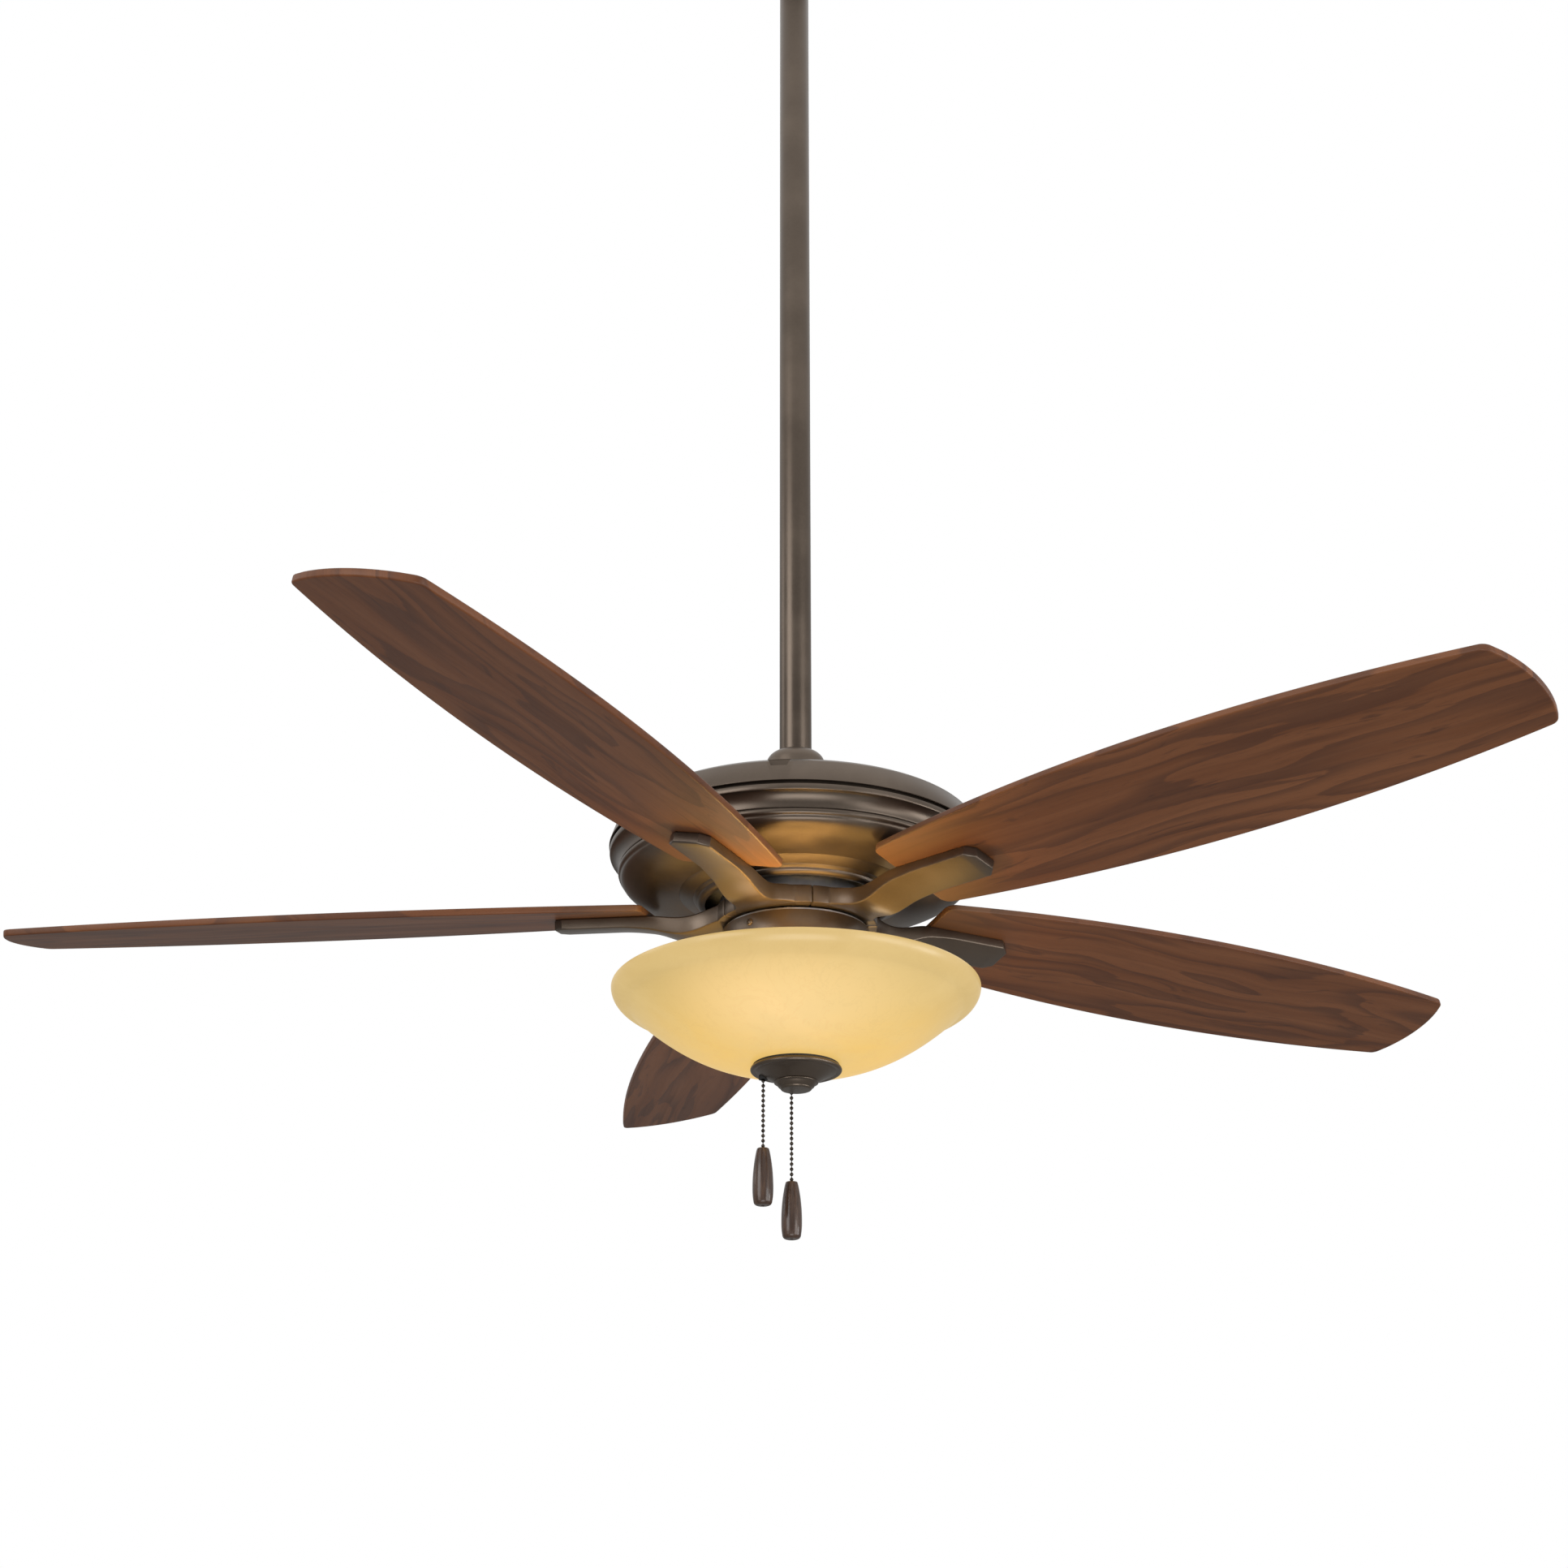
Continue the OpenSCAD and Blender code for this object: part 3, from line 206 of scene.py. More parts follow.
def closed_wall(outline, wall):
    """A closed outline from the outer one and the one that lies a wall inside it."""
    return outline(0.0) + outline(wall)[::-1]


def eased(share):
    share = max(0.0, min(1.0, share))
    return share * share * (3 - 2 * share)


# ---- Modelling ----


def start_clean():
    if bpy.context.object and bpy.context.object.mode != "OBJECT":
        bpy.ops.object.mode_set(mode="OBJECT")
    bpy.ops.object.select_all(action="DESELECT")


def select_only(piece):
    start_clean()
    piece.select_set(True)
    bpy.context.view_layer.objects.active = piece


def named(name):
    """Names the new object and its mesh."""
    piece = bpy.context.object
    piece.name = piece.data.name = name
    return piece


def applied(name):
    """Names the new object, and puts its place and size in its mesh."""
    piece = named(name)
    bpy.ops.object.transform_apply(location=True, rotation=True, scale=True)
    return piece


def edit_all():
    bpy.ops.object.mode_set(mode="EDIT")
    bpy.ops.mesh.select_mode(type="VERT")
    bpy.ops.mesh.select_all(action="SELECT")


def settle(piece, location=(0, 0, 0), rotation=(0, 0, 0)):
    """Puts a piece in its place, and that place in its mesh."""
    select_only(piece)
    piece.location = Vector(piece.location) + Vector(location)
    piece.rotation_euler = rotation
    bpy.ops.object.transform_apply(location=True, rotation=True, scale=True)
    return piece


def close_up():
    """Merges what meets and turns every face outwards, in edit mode."""
    bpy.ops.mesh.select_all(action="SELECT")
    bpy.ops.mesh.remove_doubles(threshold=MERGE)
    bpy.ops.mesh.normals_make_consistent(inside=False)


def spin_round(steps, angle=math.tau):
    """Spins the whole outline about the fan's axis, in edit mode."""
    bpy.ops.mesh.select_all(action="SELECT")
    bpy.ops.mesh.spin(steps=steps, angle=angle, center=(0, 0, 0), axis=(0, 0, 1))
    close_up()


def drawn(name, points):
    """A single vertex, extruded along the points; it is left in edit mode."""
    start_clean()
    bpy.ops.mesh.primitive_plane_add(size=MM, location=points[0])
    piece = named(name)
    edit_all()
    bpy.ops.mesh.merge(type="CENTER")
    for here, there in zip(points, points[1:]):
        step = Vector(there) - Vector(here)
        bpy.ops.mesh.extrude_region_move(TRANSFORM_OT_translate={"value": step})
    return piece


def smooth(piece, angle=32):
    select_only(piece)
    bpy.ops.object.shade_smooth_by_angle(angle=math.radians(angle))
    return piece


def soften_edges(piece, width, angle=40, segments=2):
    """Rounds a piece's sharp edges."""
    select_only(piece)
    bevel = piece.modifiers.new("soft_edges", "BEVEL")
    bevel.limit_method = "ANGLE"
    bevel.angle_limit = math.radians(angle)
    bevel.width = width
    bevel.segments = segments
    bpy.ops.object.modifier_apply(modifier=bevel.name)
    return piece


def combine(piece, other, operation):
    """Joins, cuts or intersects a piece with another, which is used up."""
    select_only(piece)
    boolean = piece.modifiers.new("combine", "BOOLEAN")
    boolean.operation = operation
    boolean.solver = "EXACT"
    boolean.object = other
    bpy.ops.object.modifier_apply(modifier=boolean.name)
    bpy.data.objects.remove(other)
    return piece


def spun(name, outline, steps=96, edge=0.0, height=HUB, ring=True):
    """An outline of (radius, height) points, spun round the fan's axis. A ring's outline is closed."""
    points = [(r, 0.0, z + height) for r, z in outline]
    if ring:
        points.append(points[0])
    piece = drawn(name, points)
    spin_round(steps)
    settle(piece)
    if edge:
        soften_edges(piece, edge)
    return smooth(piece)


def block(name, size, location, rotation=(0, 0, 0)):
    """A box that cuts a notch or a slot."""
    start_clean()
    bpy.ops.mesh.primitive_cube_add(size=1, location=location, rotation=rotation)
    bpy.ops.transform.resize(value=size, orient_type="LOCAL")
    return applied(name)


def round_cutter(radius, depth, location):
    start_clean()
    bpy.ops.mesh.primitive_cylinder_add(radius=radius, depth=depth, vertices=32, location=location)
    return applied("cutter")


def duplicate(piece, name):
    select_only(piece)
    bpy.ops.object.duplicate(linked=False)
    return named(name)


def joined(name, parts):
    start_clean()
    for part in parts:
        part.select_set(True)
    bpy.context.view_layer.objects.active = parts[0]
    bpy.ops.object.join()
    return named(name)


def finish_piece(piece, body, slot, *nodes, finishes=()):
    """Gives a piece its finishes, by default the one for its slot, and its body, and hides the nodes that it stands
    for.
    """
    piece.data.materials.clear()
    for finish in finishes or (FINISHES[slot](),):
        piece.data.materials.append(finish)
    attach(piece, body)
    if nodes:
        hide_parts(*nodes)
    return piece


def choose_faces(piece, wanted):
    """Selects the faces for which wanted(face) is true, in edit mode."""
    bpy.ops.mesh.select_all(action="DESELECT")
    bpy.ops.mesh.select_mode(type="FACE")
    mesh = bmesh.from_edit_mesh(piece.data)
    for face in mesh.faces:
        face.select_set(bool(wanted(face)))
    bmesh.update_edit_mesh(piece.data)


def second_finish(piece, wanted):
    """Makes places for two finishes, and gives the faces that are wanted the second."""
    for _ in range(2):
        piece.data.materials.append(None)
    for face in piece.data.polygons:
        if wanted(face):
            face.material_index = 1


# ---- Finishes ----


class Wire:
    """A socket that feeds others. Python's operators on it add Math nodes."""

    def __init__(self, finish, socket):
        self.finish = finish
        self.socket = socket

    def math(self, operation, *values):
        inputs = dict(enumerate(values))
        return self.finish.node("ShaderNodeMath", {"operation": operation}, inputs)

    def __add__(self, other):
        return self.math("ADD", self, other)

    def __sub__(self, other):
        return self.math("SUBTRACT", self, other)

    def __rsub__(self, other):
        return self.math("SUBTRACT", other, self)

    def __mul__(self, other):
        return self.math("MULTIPLY", self, other)

    def __pow__(self, other):
        return self.math("POWER", self, other)

    __radd__ = __add__
    __rmul__ = __mul__

    def between(self, low, high):
        """0 below low, 1 above high, and smooth between them."""
        return self.finish.node("ShaderNodeMapRange", {"interpolation_type": "SMOOTHSTEP"},
                                {"Value": self, "From Min": low, "From Max": high})


class Finish:
    """A material whose looks are written as expressions."""

    def __init__(self, name, **constants):
        self.material = bpy.data.materials.new(name)
        self.material.use_nodes = True
        self.tree = self.material.node_tree
        self.shader = self.tree.nodes["Principled BSDF"]
        self.set(**constants)
        place = self.tree.nodes.new("ShaderNodeTexCoord")
        self.place = Wire(self, place.outputs["Object"])

    def node(self, kind, settings, inputs, output=0):
        """Adds a node: its settings first, and then the values or wires of its sockets."""
        node = self.tree.nodes.new(kind)
        for key, value in settings.items():
            if key == "stops":
                self.set_stops(node.color_ramp, value)
            else:
                setattr(node, key, value)
        for key, value in inputs.items():
            self.feed(node.inputs[key], value)
        return Wire(self, node.outputs[output])

    def set_stops(self, ramp, stops):
        while len(ramp.elements) < len(stops):
            ramp.elements.new(0.5)
        for element, (position, shade) in zip(ramp.elements, stops):
            element.position = position
            element.color = (*shade, 1.0)

    def feed(self, socket, value):
        if isinstance(value, Wire):
            self.tree.links.new(value.socket, socket)
        elif socket.type == "RGBA" and len(value) == 3:
            socket.default_value = (*value, 1.0)
        else:
            socket.default_value = value

    def set(self, **values):
        """Sets the shader's sockets; an underscore in a name stands for a space."""
        for key, value in values.items():
            self.feed(self.shader.inputs[key.replace("_", " ")], value)

    def moved(self, location=(0, 0, 0), rotation=(0, 0, 0), scale=(1, 1, 1)):
        return self.node("ShaderNodeMapping", {}, {"Vector": self.place, "Location": location,
                                                   "Rotation": rotation, "Scale": scale})

    def noise(self, scale, detail=2.0, roughness=0.5, place=None, distortion=0.0):
        return self.node("ShaderNodeTexNoise", {}, {
            "Vector": place or self.place, "Scale": scale, "Detail": detail,
            "Roughness": roughness, "Distortion": distortion})

    def axis(self, name, place=None):
        return self.node("ShaderNodeSeparateXYZ", {}, {0: place or self.place}, output=name)

    def stretched(self, x, y, z):
        return self.node("ShaderNodeCombineXYZ", {}, {"X": x, "Y": y, "Z": z})

    def mix(self, share, first, second):
        return self.node("ShaderNodeMix", {"data_type": "RGBA"}, {0: share, 6: first, 7: second}, output=2)

    def bump(self, height, distance, strength=1.0):
        self.set(Normal=self.node("ShaderNodeBump", {}, {
            "Height": height, "Distance": distance, "Strength": strength}))


def made_once(build):
    """A finish is built the first time that it is asked for."""
    kept = {}

    def ask(*key):
        if key not in kept:
            kept[key] = build(*key)
        return kept[key]

    return ask


def palette():
    return bpy.context.scene.fan_colours


@made_once
def bronze():
    """Satin oil-rubbed bronze: a dark ground, rubbed lighter in soft patches, with a fine texture."""
    finish = Finish("bronze", Metallic=0.88, Coat_Weight=0.12, Coat_Roughness=0.25)
    patches = finish.noise(16.0, 3.0, 0.55).between(0.35, 0.75)
    grain = finish.noise(420.0, 2.0, 0.6)
    finish.set(Base_Color=finish.mix(patches * 0.55 + grain * 0.25, palette().bronze, palette().bronze_rub))
    finish.set(Roughness=patches * 0.08 + grain * 0.10 + 0.27)
    finish.bump(grain, 0.02 * MM, 0.6)
    return finish.material


@made_once
def walnut(number):
    """Walnut veneer whose grain runs along one blade."""
    sizes, colours = bpy.context.scene.fan_blades, palette()
    turn = -turn_of(sizes, number)
    finish = Finish(f"walnut_{number + 1}", Coat_Weight=0.06, Coat_Roughness=0.4, Specular_IOR_Level=0.35)
    along = finish.moved(rotation=(0, 0, turn))
    s, t = finish.axis("X", along), finish.axis("Y", along)
    shift = 3.1 * number
    sway = (finish.noise(1.0, 2.0, 0.5, finish.stretched(s * 5.0 + shift, t * 9.0, shift)) - 0.5) * 0.035
    across = t + sway
    bands = finish.noise(1.0, 3.0, 0.55, finish.stretched(s * 1.6 + shift, across * 42.0, shift))
    streaks = finish.noise(1.0, 4.0, 0.6, finish.stretched(s * 5.5, across * 150.0, shift), 0.6)
    flames = finish.noise(1.0, 3.0, 0.65, finish.stretched(s * 11.0 + 4.0, across * 85.0, shift), 1.2)
    pores = finish.noise(1.0, 1.0, 0.5, finish.stretched(s * 70.0, across * 1500.0, shift))
    drift = finish.noise(1.0, 2.0, 0.5, finish.stretched(s * 2.1 + shift, across * 17.0, shift))
    rings = (drift + streaks * 0.05) * 9.0
    figure = rings.math("FRACT", rings)
    late = figure.between(0.35, 0.95) * (1 - figure.between(0.96, 1.0))
    base = finish.mix(bands.between(0.30, 0.70), colours.walnut, colours.walnut_light)
    base = finish.mix(late * 0.52, base, colours.walnut_dark)
    base = finish.mix(streaks.between(0.50, 0.75) * 0.30, base, colours.walnut_dark)
    base = finish.mix(flames.between(0.60, 0.70) * 0.50, base, colours.walnut_dark)
    base = finish.mix(pores.between(0.60, 0.75) * 0.30, base, colours.walnut_dark)
    # Painted light: towards the root the veneer turns a paler, yellower brown. This is the glow that rises from the
    # bowl onto the blade roots, painted into the colour.
    root = 1 - s.between(125 * MM, 225 * MM)
    finish.set(Base_Color=finish.mix(root * 0.65, base, (0.105, 0.060, 0.030)))
    finish.set(Roughness=streaks * 0.12 + 0.40)
    finish.bump(pores * 0.6 + streaks * 0.4, 0.06 * MM, 0.5)
    return finish.material


@made_once
def blade_edge():
    """Red-brown lacquer that seals a blade's edge."""
    finish = Finish("blade_edge", Coat_Weight=1.0, Coat_Roughness=0.2)
    worn = finish.noise(60.0, 3.0, 0.6)
    finish.set(Base_Color=finish.mix(worn.between(0.4, 0.7), palette().edge, palette().walnut_dark))
    finish.set(Roughness=worn * 0.15 + 0.27)
    finish.bump(worn, 0.05 * MM, 0.4)
    return finish.material


@made_once
def fob_wood():
    """Dark polished walnut, its grain along the fob."""
    finish = Finish("fob_wood", Coat_Weight=0.5, Coat_Roughness=0.12, Specular_IOR_Level=0.4)
    x, y, z = (finish.axis(name) for name in "XYZ")
    grain = finish.noise(1.0, 4.0, 0.65, finish.stretched(x * 520.0, y * 520.0, z * 45.0), 0.4)
    fine = finish.noise(1.0, 2.0, 0.6, finish.stretched(x * 1900.0, y * 1900.0, z * 160.0))
    base = finish.mix(grain.between(0.35, 0.70), (0.040, 0.019, 0.011), (0.088, 0.046, 0.027))
    finish.set(Base_Color=finish.mix(fine.between(0.5, 0.8) * 0.35, base, (0.030, 0.017, 0.011)))
    finish.set(Roughness=grain * 0.12 + 0.28)
    finish.bump(fine, 0.006 * MM, 0.3)
    return finish.material


@made_once
def alabaster():
    """Amber alabaster glass, lit from inside: brightest low in the middle, clouded and faintly veined."""
    colours = palette()
    finish = Finish("alabaster_glass", Coat_Weight=0.15, Coat_Roughness=0.15, Emission_Strength=1.0)
    x, y, z = (finish.axis(name) for name in "XYZ")
    aside, ahead = x + 8 * MM, y.math("ABSOLUTE", y) - 98 * MM
    drop = BOWL_HIGH.z - 50 * MM - z
    spot = (aside * aside * 0.45 + ahead * ahead + drop * drop) ** 0.5
    clouds = finish.noise(11.0, 4.0, 0.6, distortion=0.9)
    veins = finish.noise(26.0, 3.0, 0.7, distortion=2.2)
    vein_line = 1 - veins.math("ABSOLUTE", veins - 0.5).between(0.0, 0.035)
    near_bulbs = 1 - spot.between(4 * MM, 82 * MM)
    low = 1 - z.between(BOWL_LOW.z, BOWL_LOW.z + 52 * MM)
    deep = finish.mix(low * 0.9, colours.glow_far, (0.79, 0.495, 0.120))
    glow = finish.mix(near_bulbs, deep, colours.glow)
    pale = finish.mix(clouds.between(0.35, 0.70) * 0.42, glow, (0.62, 0.455, 0.185))
    rim = z.between(BOWL_HIGH.z - 24 * MM, BOWL_HIGH.z - 2 * MM)
    shaded = finish.mix(rim * 0.20, pale, (0.36, 0.245, 0.095))
    lit = finish.mix(vein_line * 0.10, shaded, (0.46, 0.30, 0.10))
    finish.set(Base_Color=finish.mix(clouds.between(0.4, 0.7) * 0.5, colours.glass, (0.27, 0.20, 0.10)))
    finish.set(Emission_Color=lit, Roughness=clouds * 0.12 + 0.28)
    finish.bump(clouds, 0.25 * MM, 0.3)
    return finish.material


@made_once
def bulb_glass():
    finish = Finish("bulb_glass", Roughness=0.35, Emission_Strength=3.0)
    x, y = finish.axis("X"), finish.axis("Y")
    tip = ((x * x + y * y) ** 0.5).between(55 * MM, 80 * MM)
    finish.set(Base_Color=(0.95, 0.92, 0.84))
    finish.set(Emission_Color=finish.mix(tip, (0.75, 0.42, 0.17), (1.0, 0.80, 0.50)))
    return finish.material


def mottled(name, dark, light, scale, rough, bump_depth, **constants):
    """A plain finish with the small changes of colour, gloss and texture of a real surface."""
    finish = Finish(name, **constants)
    cloud = finish.noise(scale, 4.0, 0.6)
    grit = finish.noise(scale * 22, 2.0, 0.6)
    finish.set(Base_Color=finish.mix(cloud.between(0.3, 0.7), dark, light))
    finish.set(Roughness=cloud * 0.14 + grit * 0.08 + (rough - 0.11))
    finish.bump(grit, bump_depth, 0.6)
    return finish.material


@made_once
def laminated_steel():
    """Stacked steel laminations, seen edge on."""
    finish = Finish("laminated_steel", Metallic=0.9)
    sheets = (finish.axis("Z") * 2000.0).math("FRACT", finish.axis("Z") * 2000.0)
    seam = sheets.between(0.75, 0.95)
    stain = finish.noise(70.0, 3.0)
    finish.set(Base_Color=finish.mix(seam * 0.7 + stain * 0.3, (0.30, 0.30, 0.32), (0.07, 0.07, 0.08)))
    finish.set(Roughness=stain * 0.2 + 0.38)
    finish.bump(1 - seam, 0.08 * MM, 0.7)
    return finish.material


@made_once
def copper_wire():
    """Enamelled copper wire, wound in layers."""
    finish = Finish("copper_wire", Metallic=0.95, Coat_Weight=0.5, Coat_Roughness=0.2)
    height = finish.axis("Z") * 1400.0
    turns = height.math("PINGPONG", height, 0.5)
    stain = finish.noise(120.0, 3.0)
    finish.set(Base_Color=finish.mix(turns * 1.4, (0.18, 0.055, 0.022), (0.52, 0.20, 0.075)))
    finish.set(Roughness=stain * 0.2 + 0.24)
    finish.bump(turns, 0.25 * MM, 0.8)
    return finish.material


# Each plain finish: dark colour, light colour, scale of the clouds, roughness, depth of the grain, and the rest
PLAIN = {
    "zinc_steel": ((0.44, 0.45, 0.47), (0.62, 0.63, 0.64), 60.0, 0.36, 0.03 * MM, {"Metallic": 1.0}),
    "nylon": ((0.020, 0.019, 0.018), (0.035, 0.033, 0.031), 90.0, 0.48, 0.05 * MM, {}),
    "cast_collar": ((0.020, 0.018, 0.016), (0.040, 0.036, 0.033), 70.0, 0.55, 0.20 * MM, {"Metallic": 0.5}),
    "cast_alloy": ((0.30, 0.30, 0.31), (0.44, 0.44, 0.45), 45.0, 0.46, 0.12 * MM, {"Metallic": 0.95}),
    "black_plastic": ((0.012, 0.012, 0.013), (0.024, 0.024, 0.025), 140.0, 0.42, 0.04 * MM, {}),
    "white_enamel": ((0.76, 0.76, 0.74), (0.84, 0.84, 0.82), 35.0, 0.24, 0.02 * MM, {"Coat_Weight": 0.4}),
    "porcelain": ((0.74, 0.71, 0.64), (0.83, 0.81, 0.75), 55.0, 0.22, 0.03 * MM, {"Coat_Weight": 0.6}),
    "brass": ((0.46, 0.30, 0.10), (0.66, 0.47, 0.19), 80.0, 0.34, 0.03 * MM, {"Metallic": 1.0}),
    "black_rubber": ((0.014, 0.014, 0.014), (0.030, 0.029, 0.028), 110.0, 0.72, 0.06 * MM, {}),
    "chain_metal": ((0.030, 0.024, 0.020), (0.085, 0.070, 0.058), 300.0, 0.30, 0.01 * MM, {"Metallic": 0.95}),
}


@made_once
def plain(name):
    *looks, constants = PLAIN[name]
    return mottled(name, *looks, **constants)


FINISHES = {
    "bronze": bronze, "walnut": lambda: walnut(0), "fob_wood": fob_wood, "alabaster_glass": alabaster,
    "bulb_glass": bulb_glass, "laminated_steel": laminated_steel, "copper_wire": copper_wire,
    **{name: partial(plain, name) for name in PLAIN},
}


# ---- Outlines of the spun pieces ----


def canopy_outline(wall):
    radius, mouth, straight = (CANOPY_HIGH.x - CANOPY_LOW.x) / 2, 31 * MM, 12 * MM
    depth = CANOPY_HIGH.z - CANOPY_LOW.z
    return [(radius - wall, 0.0)] + arc(mouth, -straight, radius - mouth - wall, depth - straight - wall, 0, -90, 28)


def cover_outline(wall):
    sizes = bpy.context.scene.fan_housing
    low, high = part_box("coupling_cover")
    rod = width_of("downrod") / 2 + 0.1 * MM
    shoulder = sizes.cover - 3 * MM - rod
    return [(sizes.cover - wall, low.z - HUB)] + arc(
        rod, high.z - HUB - shoulder, shoulder - wall, shoulder - wall, 0, 90, 16)


def upper_outline(wall):
    sizes = bpy.context.scene.fan_housing
    flat = sizes.hole + 30 * MM
    rim = arc(flat, sizes.top - 21 * MM, sizes.radius - sizes.hole - 34 * MM - wall, 21 * MM - wall, 90, 12, 24)
    return [(sizes.hole, sizes.top - wall), (flat - 12 * MM, sizes.top - wall)] + rim + [
        (sizes.radius - wall, sizes.joint + 0.6 * MM)]


def lower_outline(wall):
    sizes = bpy.context.scene.fan_housing
    joint, neck = sizes.joint, sizes.radius - 3.6 * MM - wall
    step = sizes.radius - 0.7 * MM - wall
    lip, lip_height = sizes.radius - 8.5 * MM, joint - 21.5 * MM
    belly, belly_height = 95 * MM, 15 * MM
    ring = sizes.mouth + 3 * MM
    return (
        [(neck, joint + 5 * MM), (neck, joint - 1.5 * MM), (step, joint - 2.3 * MM), (step, joint - 5.5 * MM)]
        + arc(sizes.radius - MM - wall, lip_height + 2.6 * MM, 7.5 * MM, joint - lip_height - 9.4 * MM, 90, 180, 12)
        + arc(lip - 1.2 * MM - wall, lip_height, 1.8 * MM, 2.6 * MM, 80, -80, 10)
        + arc(belly, lip_height - 3.5 * MM, lip - 1.6 * MM - belly - wall,
              lip_height - 3.5 * MM - belly_height - wall, 0, -90, 28)
        + [(93.5 * MM, 13.8 * MM + wall), (83.5 * MM, 11.2 * MM + wall), (82.4 * MM, 9.8 * MM + wall)]
        + arc(ring, 9 * MM + wall, 3.6 * MM, 4 * MM, 0, -90, 8)
        + [(sizes.mouth, 5 * MM + wall)])


def cup_outline(wall):
    sizes = bpy.context.scene.fan_light
    top, low = CUP_HIGH.z - HUB, CUP_LOW.z - HUB
    foot = sizes.cup - 8 * MM
    return [(sizes.cup - wall, top), (sizes.cup - wall, top - 15 * MM)] + arc(
        foot, low + 5 * MM, 5 * MM - wall, 5 * MM - wall, 0, -90, 10) + [(sizes.pipe + 0.1 * MM, low + wall)]


def bowl_outline(wall):
    sizes = bpy.context.scene.fan_light
    rim, steps = 2 * MM, 36
    band_top = BOWL_HIGH.z - HUB - rim
    low = BOWL_LOW.z - HUB + wall
    high = band_top - sizes.band_drop + 0.75 * wall
    wide = sizes.bowl - sizes.band_in + 4.6 * MM - 0.7 * wall
    top = arc(sizes.bowl - rim, band_top, rim, rim, 90, 10, 6) if not wall else [
        (sizes.bowl - wall, BOWL_HIGH.z - HUB)]
    band = arc(sizes.bowl - sizes.band_in, band_top, sizes.band_in - wall, sizes.band_drop - wall, 0, -70, 18)
    dish = [(wide + (sizes.bowl_hole - wide) * k / steps, low + (high - low) * (1 - k / steps) ** 2)
            for k in range(steps + 1)]
    return top + band + dish


def finial_plate_outline():
    sizes = bpy.context.scene.fan_light
    edge, neck, pipe = sizes.finial, 17 * MM, sizes.pipe + 0.1 * MM
    rim, depth, sheet = 4.2 * MM, FINIAL_HIGH.z - FINIAL_LOW.z, 2 * MM
    cone = [(edge - 5 * MM - (edge - 5 * MM - neck) * k / 8,
             -rim - (depth - rim) * (k / 8) ** 1.25) for k in range(9)]
    under = [(r, z + sheet) for r, z in cone[1:]][::-1]
    outer = arc(edge - 2 * MM, -rim / 2, 2 * MM, rim / 2, 90, -90, 12) + [(edge - 4.4 * MM, -rim + 0.5 * MM)]
    return [(edge - 5 * MM, 0.0)] + outer + cone + [(pipe, -depth), (pipe, sheet - depth)] + under + [
        (edge - 5 * MM, -sheet)]


def finial_nut_outline(height):
    """The knob below the finial plate: a thin rim, a step, a sloping side and a flat end."""
    return [(0.0, 0.0), (17.6 * MM, 0.0), (17.6 * MM, -0.9 * MM), (16.0 * MM, -1.3 * MM), (15.6 * MM, -1.9 * MM),
            (14.2 * MM, 2.6 * MM - height)] + arc(11 * MM, 1.6 * MM - height, 1.6 * MM, 1.6 * MM, 0, -90, 6) + [
                (0.0, -height)]


def fob_outline():
    sizes = bpy.context.scene.fan_chains
    wide, neck, fob = sizes.fob_width / 2, sizes.fob_width * 0.30, sizes.fob
    top = arc(neck - 0.9 * MM, -0.9 * MM, 0.9 * MM, 0.9 * MM, 90, 0, 4)
    side = [(neck + (wide - neck) * math.sin(math.pi / 2 * (k / 18) ** 0.85),
             -0.9 * MM - (fob * 0.68 - 0.9 * MM) * k / 18) for k in range(1, 19)]
    lower = [(wide - (wide - neck * 1.5) * (k / 12) ** 2.6, -fob * (0.68 + 0.25 * k / 12)) for k in range(1, 13)]
    end = arc(neck * 1.5 - 3.2 * MM, -fob * 0.93, 3.2 * MM, fob * 0.07, 0, -90, 7)
    return [(0.0, 0.0)] + top + side + lower + end[1:] + [(1.3 * MM, -fob), (1.3 * MM, -fob * 0.985),
                                                         (0.0, -fob * 0.98)]


def bulb_outline():
    """A small round bulb from its cap (low) to its crown, along its own axis."""
    neck, radius, middle = 11 * MM, 20 * MM, 55 * MM
    shoulder = arc(0.0, middle, radius, radius, -42, 90, 20)
    return [(0.0, 0.0), (neck, 0.0), (neck, 28 * MM)] + shoulder


# ---- Operators ----


